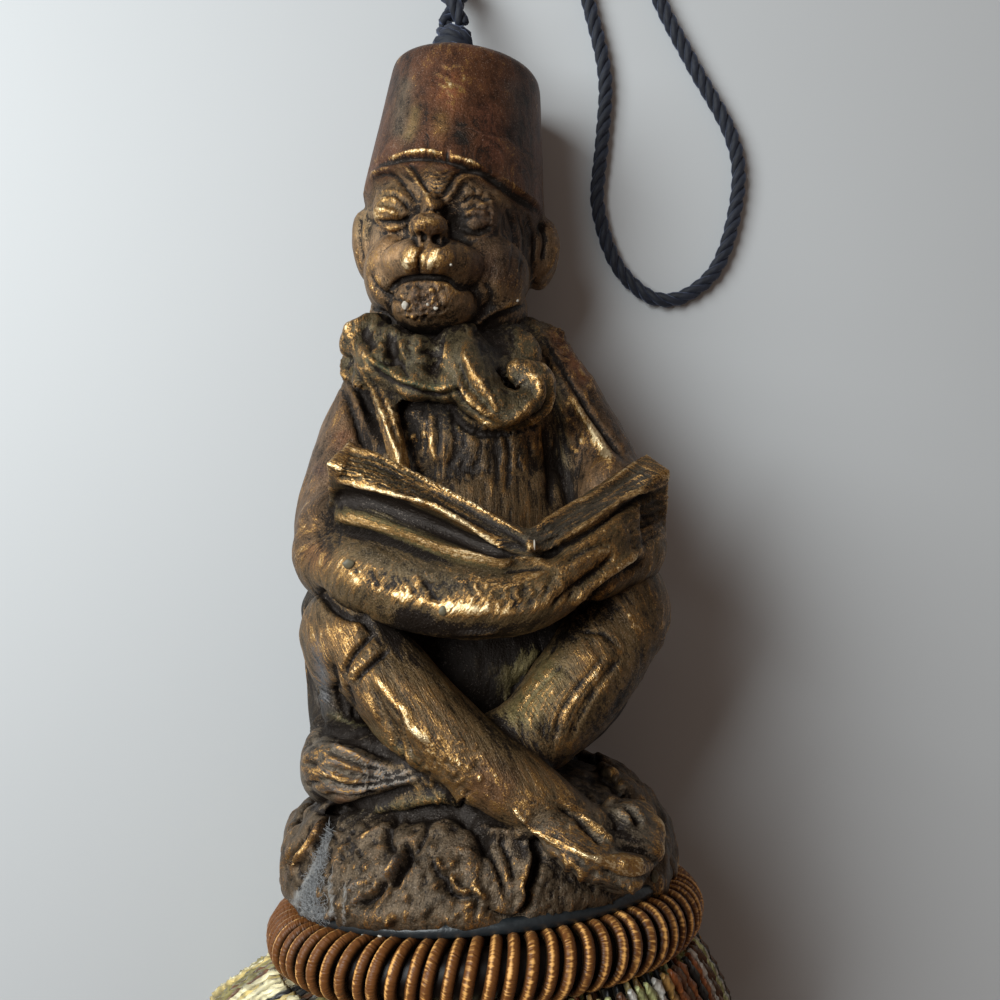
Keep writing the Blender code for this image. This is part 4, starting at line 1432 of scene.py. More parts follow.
PAGES_TOP = "353,449 367,451 389,461 414,473 440,488 465,501 497,520 525,536"
PAGES_LOW = "339,481 370,486 396,494 430,504 453,515 478,529 504,546 524,553"
RIGHT_TOP = "534,530 556,515 578,502 604,488 637,462"
RIGHT_LOW = "533,549 549,548 563,539 597,518 633,494 659,486"

FEZ_MARKS = (
    # Gold along the brim's lip: gold rub, and partly a painted highlight.
    *ridge(2.6, 0.45, "385,160 397,156 406,153 425,151 441,154", "452,156 471,162 484,169", gold=0.9),
    *ridge(2.6, 0.3, "484,169 503,179 521,191 541,206"),
    # Painted shadow: the dark band that the brim casts under its lip.
    *groove(4.2, 0.9,
            "366,172 378,165 390,161 406,158 425,158 442,160 460,166 478,173 497,183 511,193 525,203 "
            "541,214", dark=0.5),
    *groove(2, 0.5, "447,150 447,160", dark=0.6),
    *stain_and_shading(9, "408,75 402,105 398,140", tone=(0.135, 0.105, 0.07), share=0.7),
    # Painted highlight: an orange sheen down the fez's lit left side.
    *stain_and_shading(6, "416,104 413,124 406,142", tone=(0.17, 0.115, 0.045), share=0.7, gold=0.15),
    *stain_and_shading(13, "448,72 450,100", tone=(0.22, 0.072, 0.026), share=0.75),
    *stain_and_shading(7, "440,112 442,134", tone=(0.2, 0.105, 0.032), share=0.7, gold=0.12),
    *stain_and_shading(7, "461,122 463,146", dark=0.5, tone=UMBER, share=0.8),
    *stain_and_shading(3.5, "424,104 426,125 428,147", dark=0.5),
    *stain_and_shading(6, "400,118 397,130", dark=0.3),
    # Painted shade: the fez's right side, away from the light, made darker.
    *stain_and_shading(14, "510,75 520,110 516,150", tone=(0.055, 0.036, 0.028), share=0.75),
    *stain_and_shading(12, "483,100 490,140 500,165", tone=(0.12, 0.045, 0.026), share=0.7),
    *stain_and_shading(1.1, "441,64.8 450,70.2", "452,66.2 461,66.2", "434,72.9 444,78.2 452,86.2",
           "446,77 456,87.6", "463,75.5 465,80.9", "446,90.3 452,97", "455,84 463,89", "438,84 447,88",
           gold=0.9, tone=(0.42, 0.24, 0.13), share=0.7),
    *crumbs(3, (452, 82), (16, 20), 26, 1.3, 0, (5, 3), gold=0.4),
)

FACE_MARKS = (
    # Brows, with the folded frown between them.
    *ridge(3, 0.6, "405,165 413,174 420,185 428,195 426,201", gold=0.8),
    *ridge(3, 0.6, "445,203 453,192 459,181 468,176 480,177 490,184", gold=0.3),
    *ridge(3.2, 0.45, "371,175 381,168 396,169", gold=0.1),
    *groove(2.6, 0.6, "373,179 386,174 399,179 409,191 417,202"),
    *groove(2.4, 0.6, "408,164 416,173 423,184 430,195"),
    *groove(2.4, 0.6, "442,197 449,186 455,176 465,171 480,171"),
    *[Mark(Cut.RIDGE, 1.7, 0.34, ((423 + 1.3 * k, 168 + 4.7 * k), (430 + 0.8 * k, 172 + 4.6 * k),
                                  (438, 173 + 4.6 * k), (447 - 0.8 * k, 171 + 4.6 * k),
                                  (456 - 1.7 * k, 167 + 4.7 * k)), gold=0.35) for k in range(6)],
    *[Mark(Cut.GROOVE, 1.5, 0.3, ((423 + 1.3 * k, 170 + 4.7 * k), (438, 175 + 4.6 * k),
                                  (455 - 1.7 * k, 169 + 4.7 * k))) for k in range(6)],
    *ridge(3, 0.3, "429,205 437,207 446,205"),
    # The viewer's left eye, screwed up.
    *ridge(2.3, 0.28, "382,191 396,192 406,199 413,207", "380,200 391,198 399,203 405,210",
           "377,210 388,211 398,216", gold=0.1),
    *groove(1.8, 0.3, "379,196 393,195 403,201 409,210", "377,206 390,204 400,211"),
    *groove(2.6, 0.7, "371,220 380,223 390,222 400,222 411,216", dark=0.5),
    *ridge(2.4, 0.35, "375,228 388,229 401,227", gold=0.1),
    *crumbs(11, (392, 207), (20, 20), 60, 1.6, 0.22, gold=0.12),
    *stain_and_shading(15, "378,194 390,206", tone=(0.22, 0.145, 0.06), share=0.7, gold=0.16),
    # The nose.
    *groove(2.6, 0.8, "410,219 409,229 414,240 421,245", "446,217 450,228 446,240 436,245", dark=0.4),
    *groove(2.6, 1.2, "420,235 424,238", "435,239 439,238", dark=1, taper=False),
    *groove(2, 0.6, "427,243 423,249 419,257 419,272"),
    *ridge(5, 0.35, "419,226 430,221 441,228"),
    # Painted shade: the nose's shadow on its right side, over some dark paint.
    *stain_and_shading(12, "452,208 457,226 452,246", dark=0.55),
    *stain_and_shading(16, "430,229", tone=(0.1, 0.055, 0.03), share=0.8, gold=-0.5),
    *groove(8, 0.9, "455,212 458,226 453,240"),
    # Painted shade under the brows, above the nose.
    *groove(4.5, 0.9, "422,209 437,212 449,210", dark=0.5),
    # The viewer's right eye.
    *ridge(2.3, 0.25, "462,197 473,192 487,196 494,211", "464,206 475,201 488,207",
           "464,215 477,210 490,216"),
    *groove(1.8, 0.3, "463,202 474,196 488,202", "463,210 476,206 489,212", "463,220 477,216 490,221"),
    *groove(2.8, 0.5, "462,225 470,231 480,232 492,226", dark=0.4),
    *ridge(2.4, 0.35, "466,237 478,239 491,234"),
    *crumbs(12, (477, 210), (20, 24), 70, 1.6, 0.3, dark=0.1),
    # Painted shade: the right eye and the face's right side made darker, away from the light.
    *stain_and_shading(22, "478,206 492,240", tone=(0.055, 0.032, 0.02), share=0.8, gold=-0.3),
    *stain_and_shading(30, "512,200 516,250 500,292", tone=(0.055, 0.03, 0.018), share=0.85, gold=-0.3),
    # Lips, mouth and chin.
    *ridge(8, 0.4, "403,267 410,264", "427,264 434,266", gold=0.9),
    *stain_and_shading(9, "402,258 418,256 436,258 448,268", gold=0.35),
    *groove(2.6, 0.5, "419,256 419,274"),
    *groove(2.6, 0.9, "389,291 396,284 404,280 422,278 445,279 457,286 470,289", dark=0.7),
    *ridge(3.2, 0.5, "398,289 410,285 430,284 446,286 455,291", gold=0.15),
    *groove(3, 0.8, "369,270 371,281 381,292 396,299 408,310", dark=0.2),
    *groove(3.6, 0.35, "484,282 491,292 489,303 480,313"),
    *stain_and_shading(4, "486,288 487,296", gold=0.4),
    *crumbs(13, (422, 302), (28, 19), 120, 2, 0.5, gold=0.1),
    *stain_and_shading(22, "408,300 440,302", tone=(0.085, 0.05, 0.032), share=0.8, gold=-0.12),
    *groove(3.2, 0.8, "362,296 369,304 381,312 396,324 412,332", dark=0.4),
    *ridge(3, 0.6, "519,301 498,309 483,319 472,328", gold=0.4),
    *groove(3, 0.7, "524,305 500,314 486,323 475,332", dark=0.4),
    # Cheeks and the hair at the sides.
    # The left cheek's tan paint, made lighter where the light falls as a painted highlight.
    *stain_and_shading(20, "385,238 388,262", tone=(0.5, 0.3, 0.15), share=0.9, dark=-0.3),
    *stain_and_shading(14, "366,205 360,240", tone=(0.3, 0.2, 0.1), share=0.8),
    # Painted shade: the right cheek and jaw made darker, away from the light.
    *stain_and_shading(22, "470,262 496,268", tone=(0.065, 0.034, 0.02), share=0.8, gold=-0.3),
    *hatch("505,205 513,235 510,270", "527,215 534,245 528,280", 5, 1.8, 0.3, seed=4),
    *groove(4, 0.9, "541,222 547,240 543,262", dark=0.5),
    *ridge(3, 0.5, "548,208 559,222 560,240 552,262 541,278"),
    *groove(3, 0.8, "360,214 357,238 362,262", dark=0.3),
)

RUFF_MARKS = (
    *ridge(3, 0.6, "342,333 352,326 361,320 372,309"),
    *groove(6, 0.6, "362,328 369,338 374,350", dark=0.5),
    *groove(5, 0.6, "391,332 390,345 394,358", dark=0.5),
    *ridge(3, 0.7, "380,342 384,350 382,357", gold=0.25),
    *ridge(3.5, 0.6, "402,340 404,352 408,362"),
    *ridge(7, 0.4, "414,369 424,362 434,367"),
    *stain_and_shading(3, "416,374", "430,374", "436,343", gold=0.9),
    *groove(2.8, 0.7, "444,340 441,354 436,368"),
    *ridge(2.6, 0.5, "448,341 446,355 442,370", gold=0.25),
    *groove(2.8, 0.7, "388,364 398,361 404,370 407,379", "418,352 428,350 437,356",
            "372,355 380,361 388,364"),
    *ridge(3.6, 0.7, "366,356 381,366 396,377 416,385 437,389 453,387", tone=MOSS, share=0.9),
    # Painted shadow in the gap under the ruff's rim.
    *groove(3.6, 0.6, "366,362 381,373 396,383 416,391 437,396 454,393", dark=0.6),
    *crumbs(21, (405, 352), (44, 24), 60, 2.6, 0.35),
    *stain_and_shading(24, "410,340 440,360", tone=(0.095, 0.078, 0.045)),
    *stain_and_shading(14, "478,330 495,345 505,355", tone=UMBER, share=0.9, dark=0.35, gold=-0.3),
    *crumbs(22, (492, 340), (22, 18), 30, 2.4, 0.3),
    # The curl of the neckcloth.
    *ridge(3, 0.7, "462,350 471,370 480,382 490,396 495,407", gold=0.4),
    *ridge(3, 0.6, "457,376 465,394 477,407 493,417", gold=0.35),
    *ridge(3, 0.5, "453,394 461,413 477,424 496,427", gold=0.15),
    *groove(2.2, 0.8, "458,362 467,383 478,396 493,411", "454,385 462,404 476,416 494,423", dark=0.2),
    # Painted shadow round the outer edge of the curl.
    *groove(3.4, 0.9, "450,392 455,415 473,431 497,434 520,428 541,415 550,400 547,382", dark=0.5),
    *ridge(4.5, 0.6, "500,422 515,417 530,406 540,392 537,379 526,374"),
    # Painted shade in the curl's hollow.
    *groove(5, 1, "499,366 504,380 511,392", dark=1),
    *stain_and_shading(14, "486,336 494,352", dark=0.7, gold=-0.5),
    *ridge(5, 0.9, "519,380 524,385", tone=SILVER, gold=0.2),
    *crumbs(23, (478, 398), (20, 26), 40, 1.8, 0.3, gold=0.1),
)

COAT_MARKS = (
    *ridge(2.6, 0.5, "338,364 350,386 360,407 367,427 376,447", gold=0.15),
    *groove(2.8, 0.8, "343,390 353,414 359,432 363,447", dark=0.3),
    *groove(5.5, 1.4, "347,362 362,392 373,419 384,448", dark=0.8),
    *ridge(2.4, 0.5, "357,366 373,389 381,410 391,438 399,458", gold=0.15),
    *groove(2.2, 0.6, "366,374 380,395 388,414 398,441", dark=0.2),
    *stain_and_shading(6, "376,388 385,402 397,418 409,431", gold=0.65),
    *stain_and_shading(9, "405,418 414,440", tone=OLIVE, gold=0.2),
    *[Mark(Cut.GROOVE, 2.6, 0.16 + 0.12 * (k * 5 % 4),
           ((x, 398 + 5 * k), (x + 3, 428 + 4 * k), (x + 1, 448 + 6 * k)), dark=0.2)
      for k, x in enumerate((414, 424, 437, 452, 461, 477, 496, 507, 528))],
    *crumbs(33, (430, 430), (34, 34), 46, 3.2, 0.2, (2, 14), gold=0.3),
    *crumbs(34, (500, 440), (44, 44), 46, 3, 0.2, (2, 14), gold=0.22),
    *crumbs(35, (574, 392), (26, 62), 60, 4, 0.16, (5, 9), gold=0.3),
    *stain_and_shading(30, "430,440 490,470 520,500", tone=(0.085, 0.05, 0.022), share=0.7, gold=-0.02),
    *stain_and_shading(10, "452,405 462,430", tone=OLIVE),
    *stain_and_shading(12, "533,425 532,450", tone=(0.13, 0.065, 0.025), gold=0.15),
    *groove(4, 0.8, "545,425 550,462 552,506", dark=0.3),
    *ridge(2.6, 0.5, "557,430 565,464 568,496", gold=0.1),
    *stain_and_shading(9, "548,362 556,400 562,450 564,490", tone=(0.095, 0.075, 0.036), share=0.8, gold=-0.1),
    *ridge(4.5, 0.8, "530,316 539,333 553,355 566,383 580,411 598,440 613,464", gold=0.25),
    # Gold on the coat's right edge: gold rub, and partly a painted highlight.
    *stain_and_shading(9, "575,405 592,436 606,462", gold=0.7),
    *stain_and_shading(12, "596,448 604,462", gold=0.5),
    *groove(3.6, 0.9, "541,334 562,370 576,392 592,416 613,443 627,460", dark=0.45),
    *stain_and_shading(9, "552,328 575,362 590,386", tone=RUST, share=0.75),
    *stain_and_shading(10, "603,405 622,435 632,455", tone=UMBER, dark=0.2),
    *crumbs(31, (560, 400), (34, 60), 60, 2.4, 0.22, (3, 7)),
    *crumbs(32, (452, 440), (44, 44), 90, 2, 0.26, (1, 8), gold=0.06),
    # The viewer's left sleeve.
    # Lighter brown down the left sleeve's edge: its paint, and partly a painted sheen.
    *stain_and_shading(16, "325,400 315,450 312,500", tone=(0.155, 0.1, 0.062), share=0.7, gold=-0.15),
    *stain_and_shading(12, "340,430 346,452", tone=(0.17, 0.07, 0.035)),
    *stain_and_shading(7, "320,470", tone=(0.09, 0.05, 0.045)),
    *hatch("321,508 318,530 322,552", "341,500 340,525 338,548", 7, 1.5, 0.3, seed=6),
    *stain_and_shading(12, "310,545 324,566", tone=(0.24, 0.1, 0.035), gold=0.2),
)

BOOK_MARKS = (
    *ridge(2.2, 0.4, PAGES_TOP, gold=0.25),
    *groove(1.5, 0.6, *(between(PAGES_TOP, PAGES_LOW, share)
                        for share in (0.15, 0.29, 0.44, 0.58, 0.73, 0.87)), dark=0.5, taper=False),
    *ridge(1.5, 0.2, *(between(PAGES_TOP, PAGES_LOW, share) for share in (0.22, 0.51, 0.8)),
           gold=0.12),
    *ridge(2.8, 0.8, PAGES_LOW, gold=0.2),
    *stain_and_shading(5, "443,512 465,524 488,538 505,548", gold=0.7),
    *groove(6.5, 0.8, "340,497 376,502 414,515 446,530 478,546 500,557", dark=0.9, gold=-0.4,
            taper=False),
    *groove(4.5, 0.3, "341,488 376,494 414,505", dark=0.5),
    *ridge(5.5, 0.9, "342,516 376,524 408,537 440,550 472,557 500,562", tone=(0.22, 0.18, 0.07),
           share=1, gold=0.15, dark=-0.9, taper=False),
    *stain_and_shading(4.5, "340,530 376,539 414,552 445,563", dark=0.8, gold=-0.4),
    *ridge(2.4, 0.5, RIGHT_TOP, gold=0.15),
    *groove(1.7, 0.45, between(RIGHT_TOP, RIGHT_LOW, 0.3), between(RIGHT_TOP, RIGHT_LOW, 0.55),
            between(RIGHT_TOP, RIGHT_LOW, 0.75)),
    *ridge(2.8, 0.7, RIGHT_LOW, gold=0.1),
    *stain_and_shading(12, between(RIGHT_TOP, RIGHT_LOW, 0.5), tone=(0.055, 0.045, 0.034), share=0.8, gold=-0.2,
           taper=False),
    *groove(4, 1.2, "540,557 560,548 597,527 619,510 640,500 661,493", dark=0.7),
    *ridge(4, 0.6, "502,563 523,560 546,562", gold=0.7),
    *groove(2, 0.5, "504,572 530,568 550,569", dark=0.2),
    *hatch("624,519 643,509 664,502", "630,552 650,540 668,530", 5, 2, 0.35, seed=8),
    *stain_and_shading(12, "648,515 655,540", tone=(0.12, 0.07, 0.03), gold=0.12),
    # Fingers.
    *groove(2.6, 1, "612,552 609,559 597,570 584,580 573,588 552,607", dark=0.5),
    *groove(2.2, 0.7, "606,569 585,583 568,602", dark=0.2),
    *groove(2.4, 0.7, "565,562 585,551 602,545 611,549", dark=0.2),
    *ridge(5, 0.6, "570,568 590,557 604,551", tone=TAN),
    *ridge(3.6, 0.7, "640,551 609,574 585,591 572,607", gold=0.15),
    *groove(3.2, 1.1, "642,560 609,583 590,598 577,613", dark=0.7),
)

FOREARM_MARKS = (
    *hatch("352,566 357,574 363,584", "424,578 431,590 438,603", 13, 1.7, 0.5, seed=1, dark=0.25),
    *hatch("424,578 431,590 438,603", "505,588 513,600 519,612", 15, 1.7, 0.5, seed=2, dark=0.25),
    *hatch("510,585 514,598 516,611", "556,572 549,588 541,604", 9, 1.7, 0.45, seed=3, dark=0.25),
    *stain_and_shading(9, "335,556 345,568 358,577 382,588", gold=0.6, tone=(0.26, 0.15, 0.05), share=0.4),
    *stain_and_shading(8, "382,588 408,597 433,604 465,607 503,607 535,601", gold=0.75),
    *stain_and_shading(10, "352,545 378,556 408,568 440,578 480,584", tone=(0.07, 0.05, 0.026), share=0.8,
           gold=-0.3, dark=0.15),
    # Painted shade under the forearm, and between it and the legs below.
    *stain_and_shading(9, "378,604 405,613 440,622 480,628 520,628 560,616", dark=0.8, gold=-0.5),
    *stain_and_shading(14, "380,636 415,626 450,636 500,644 550,640 590,622", dark=0.8, gold=-0.5),
    *ridge(1.8, 0.5, "457,634 470,632 484,632 500,630", gold=0.8),
    *crumbs(41, (450, 588), (90, 18), 90, 1.8, 0.2, (2, 5), gold=0.08),
    *crumbs(42, (560, 590), (24, 14), 24, 1.8, 0.2, (-3, 4)),
)
CUFF_TOP = traced("345,677 346,667 352,656 361,645 372,635")
CUFF_LOW = traced("358,683 359,676 368,667 377,659 387,651")

LEG_MARKS = (
    *stain_and_shading(16, "350,628 358,632", gold=0.6),
    *stain_and_shading(14, "340,650 334,625", tone=(0.26, 0.14, 0.05), gold=0.15),
    *groove(3.2, 1.1, "318,588 333,607 350,617 364,619 372,632", dark=0.8),
    *groove(2.4, 1, CUFF_TOP, CUFF_LOW, dark=0.6),
    *ridge(1.6, 0.45, *(between((CUFF_TOP[0], CUFF_LOW[0]), (CUFF_TOP[-1], CUFF_LOW[-1]),
                                share)[1::3] for share in np.linspace(0.06, 0.94, 9)),
           gold=0.3),
    *groove(3.2, 0.9, "331,662 338,692 346,713", "345,684 352,705 357,718", dark=0.7),
    # Painted reflection: a grey sheen down the leg's left edge, where it faces the pale table.
    *stain_and_shading(6, "316,640 322,680 326,706", tone=(0.16, 0.16, 0.165), share=0.9, dark=-0.4),
    *ridge(5, 0.5, "373,674 384,688 397,705 405,713 411,728 430,742", gold=0.6),
    *stain_and_shading(8, "412,724 428,745 430,762 438,778", gold=0.55),
    *groove(1.8, 0.55, "369,684 377,706 383,727", "375,690 382,710 388,731", "401,720 404,737 412,754",
            "393,720 399,742 410,762", "386,712 392,733 400,750"),
    *crumbs(51, (455, 770), (40, 40), 130, 1.9, 0.32, (1, 4), gold=0.14),
    *stain_and_shading(26, "470,775 510,800", tone=(0.16, 0.065, 0.028), share=0.5),
    *stain_and_shading(15, "540,642 524,668 516,690", tone=(0.19, 0.15, 0.062), share=0.95, gold=0.12, dark=-0.9),
    # Painted shade between the left shin and the right leg.
    *stain_and_shading(20, "400,655 440,668 475,700 498,735 520,762", dark=0.8, gold=-0.5),
    # The right leg as it is seen.
    *ridge(4.5, 0.6, "539,651 531,661 523,673", gold=0.2),
    *groove(2.6, 0.7, "556,644 534,667 514,691"),
    *groove(2, 0.4, "582,632 603,634 622,649"),
    *hatch("625,654 591,700 571,742", "566,660 526,706 524,744", 11, 2, 0.42, seed=5),
    *stain_and_shading(24, "550,655 524,695 512,730", tone=(0.17, 0.13, 0.052), share=0.9, gold=-0.25, dark=-0.4),
    *stain_and_shading(9, "600,660 575,695 556,728", gold=0.4),
    *stain_and_shading(16, "646,640 630,685 608,725 592,752", dark=0.6, gold=-0.5),
    *stain_and_shading(14, "616,612 640,600", gold=0.12, tone=(0.13, 0.08, 0.035), share=0.5),
    *crumbs(52, (600, 620), (50, 26), 70, 1.9, 0.25, gold=0.08),
    # The left foot's sole.
    *ridge(3.8, 0.7, "330,714 352,723 374,732 390,744 407,755 424,769", tone=OLIVE, share=0.7,
           gold=0.12),
    *groove(6, 1, "316,731 345,735 370,745 394,759", dark=0.45),
    *ridge(2.8, 0.6, "334,745 352,753 366,761 387,769", "330,759 348,766 368,772 394,774",
           "324,772 352,781 386,778 412,771", "322,785 350,791 378,786 416,778", tone=SILVER, share=0.9,
           gold=0.1),
    *groove(2, 0.6, "330,752 350,760 368,767 390,771", "326,766 350,774 380,776 405,772",
            "322,779 350,786 380,782 415,775"),
    *stain_and_shading(6, "334,803 350,803", tone=(0.2, 0.1, 0.05), share=0.7),
    *groove(2.4, 0.7, "326,795 350,797 376,792"),
    *groove(3.4, 1.3, "316,809 328,812 350,808 376,800 411,788", dark=0.7),
    *groove(2.4, 0.9, "302,764 316,765", "305,785 319,784", "304,742 317,746", dark=0.3),
    *crumbs(53, (350, 765), (42, 34), 80, 2, 0.28, (4, 1)),
    # The right foot and its toes.
    *ridge(3, 0.5, "513,808 534,829 554,843", gold=0.5),
    *ridge(3, 0.5, "562,851 570,860 587,876", gold=0.25),
    *ridge(3.4, 0.6, "583,816 599,830 613,843", tone=OLIVE, share=0.5, gold=0.4),
    *ridge(3, 0.4, "572,848 590,857 604,862", gold=0.4),
    *groove(2.6, 0.9, "556,805 576,817 590,832 604,847", "596,803 608,815 620,830", dark=0.4),
    *ridge(8, 0.6, "618,863 643,864", tone=(0.21, 0.1, 0.038), share=0.9, gold=-0.15),
    *groove(3, 1, "603,871 620,880 640,881 656,873", "606,850 625,849 645,852 657,862", dark=0.5),
    *stain_and_shading(7, "614,826 632,840 650,848", dark=0.9),
    *crumbs(54, (570, 832), (60, 30), 90, 2, 0.3, (3, 3), gold=0.06),
)

MOUND_MARKS = (
    *ridge(5, 1, "332,818 360,814 380,806 411,801 436,795 456,797 472,807", tone=OLIVE, share=0.7,
           gold=0.1),
    *ridge(3.5, 0.9, "325,818 313,841 300,858 287,873", gold=0.35, tone=(0.17, 0.09, 0.04)),
    *groove(3.2, 1, "312,824 302,841 292,858 284,874", "334,821 326,838 320,858", dark=0.6),
    *ridge(3, 0.6, "340,853 356,843 376,829 392,822", gold=0.3),
    *groove(3.6, 1.2, "401,812 390,829 388,842 395,851", dark=0.5),
    *groove(6.5, 1.3, "400,817 425,813 455,813 471,823", dark=0.6),
    *groove(3.8, 2, "406,843 409,859 400,873 393,885", "384,881 376,894 366,902 358,906", dark=1),
    *ridge(4.5, 1, "383,878 393,868 400,856", tone=SILVER, share=0.5, gold=0.1),
    *ridge(3, 0.6, "350,893 356,886 365,882", "352,903 362,897", tone=SILVER, share=0.4),
    *groove(2.4, 0.7, "429,822 423,841 415,854", dark=0.3),
    *groove(3, 1, "431,855 437,873 446,880 451,893 463,898 474,896 482,905", dark=0.6),
    *ridge(2.8, 1.2, "437,858 441,867 447,870", "452,875 454,884 459,890 468,891",
           "476,888 481,895 487,898", gold=0.7),
    *ridge(4, 1, "474,823 490,832 508,834 523,838 530,855 526,873 521,886 524,900 518,912",
           gold=0.05),
    *groove(4.2, 2.2, "532,840 537,857 534,875 529,892 528,906 522,919", dark=1),
    *groove(3, 1.3, "522,919 508,921 495,916 488,906", dark=0.6),
    *groove(2.6, 0.9, "477,834 489,852 496,867 507,897", "500,838 509,858 515,882", dark=0.3),
    *ridge(2.4, 0.5, "484,852 492,868 501,892", gold=0.15),
    *groove(6, 1.4, "461,816 474,823 484,840 484,858", dark=0.7),
    *ridge(3, 0.8, "617,790 632,806 647,824", "600,787 617,806 633,826", "586,790 604,812 618,828"),
    *groove(3, 1, "608,788 625,806 640,826", dark=0.5),
    *crumbs(61, (330, 880), (42, 44), 90, 3, 0.5, (-2, 9)),
    *crumbs(62, (430, 890), (70, 36), 130, 2.8, 0.45, (-2, 8)),
    *crumbs(63, (570, 890), (60, 34), 110, 2.6, 0.4, (4, 8)),
    *crumbs(64, (410, 835), (90, 22), 60, 3, 0.4, (4, 5)),
    *stain_and_shading(6, "295,912 320,926 350,934 400,939 480,941 560,936 610,924 645,905", tone=NAVY, share=0.95,
           gold=-0.4, taper=False),
    *dust(6, 0.9, "327,826 321,857 311,882 307,907 303,920", "322,905 325,931", "298,890 292,908",
          "309,890 312,925"),
    *dust(3, 0.7, "334,860 330,890 336,926", "345,880 343,930", "318,862 300,895"),
)

MARKS: tuple[Mark, ...] = (*FEZ_MARKS, *FACE_MARKS, *RUFF_MARKS, *COAT_MARKS, *BOOK_MARKS,
                           *FOREARM_MARKS, *LEG_MARKS, *MOUND_MARKS)


@dataclass(frozen=True)
class Drops:
    """Flecks of white paint, or drops of old glue, at places of the front drawing."""

    name: str
    finish: Plain
    places: tuple[tuple[float, float, float, float], ...]
    thick: float = 0.30

    def build(self, drawing: FrontDrawing) -> bpy.types.Object:
        """Builds the drops, each from its place and its two half widths in the drawing."""
        ball, faces = unit_ball()
        rng = np.random.default_rng(len(self.places))
        shapes = Shapes()
        for across, down, wide, high in self.places:
            at = drawing.raised(across, down)
            scale = drawing.scale(at[2])
            radii = np.array((wide / scale, high / scale, self.thick))
            lumpy = 1 + 0.25 * lumps(ball * 1.3 + rng.uniform(0, 50, 3), 3)[:, None]
            shapes.add(ball * lumpy * radii + at, faces)
        return piece(self.name, shapes, self.finish.material(), "cast_figure", "gilt_resin")


@dataclass(frozen=True)
class Lint:
    """Grey fluff that hangs on the mound's side."""

    finish: Plain
    line: tuple[tuple[float, float, float], ...] = (
        (330, 822, 2.0), (325, 843, 3.5), (319, 862, 6.0), (312, 884, 9), (309, 902, 12),
        (316, 920, 10))
    count: int = 620
    radius: float = 0.030

    def build(self, drawing: FrontDrawing) -> bpy.types.Object:
        """Builds the fibres along a line of across, down and half width."""
        rng = np.random.default_rng(31)
        run = smooth_run(self.line, 6)
        steps = np.linspace(-0.5, 0.5, 6)
        paths = []
        while len(paths) < self.count:
            across, down, wide = run[int(len(run) * rng.uniform() ** 0.55)]
            across += rng.normal(0, 0.55) * wide
            down += rng.uniform(-4, 4)
            angle, long = rng.normal(1.5, 0.8), rng.uniform(4, 13)
            curl, over = rng.uniform(-9, 9), rng.uniform(0.0, 0.3)
            x = across + steps * long * math.cos(angle) + curl * steps ** 2
            y = down + steps * long * math.sin(angle) + curl * steps ** 3
            path = np.array([drawing.raised(a, b, over) for a, b in zip(x, y)])
            if np.ptp(path[:, 2]) < 1.6 and path[0, 2] > 20:
                paths.append(path)
        shapes = Shapes()
        points, quads, caps = sweep(np.array(paths), round_outline(3),
                                    np.full((self.count, len(steps)), self.radius))
        shapes.add(points, quads, caps)
        return piece("lint", shapes, self.finish.material(), "cast_figure", "gilt_resin")


WHITE_FLECKS = Drops(
    "white_flecks",
    Plain("white_flecks", (0.62, 0.57, 0.49, 1), (0.42, 0.37, 0.30, 1), 0.6, 900.0, 0.1),
    ((405, 305.3, 3.2, 4.2), (428, 304.5, 1.8, 1.6), (435.6, 308.3, 2.4, 2),
     (451, 265, 1.4, 1.2), (518, 300.7, 1.4, 1.4), (534.6, 545, 1.2, 5.2),
     (363, 935.5, 1.8, 1.4), (346, 935, 1.4, 1.4), (414, 940.5, 2, 1.5), (424, 943, 1.5, 1.2),
     (448, 943, 2, 1.2), (475, 945, 1.6, 1.4), (380.3, 935.5, 3, 2.6)))
GLUE_DROPS = Drops(
    "glue_drops",
    Plain("old_glue", (0.17, 0.145, 0.085, 1), (0.10, 0.082, 0.05, 1), 0.5, 900.0, 0.1),
    ((349, 563.7, 6, 5), (443.6, 611, 5.2, 5), (655, 877, 3.5, 7)))
GREY_LINT = Lint(Plain("grey_lint", (0.36, 0.36, 0.36, 1), (0.20, 0.20, 0.20, 1), 0.9))


# ---------------------------------------------------------------- ring and fringe

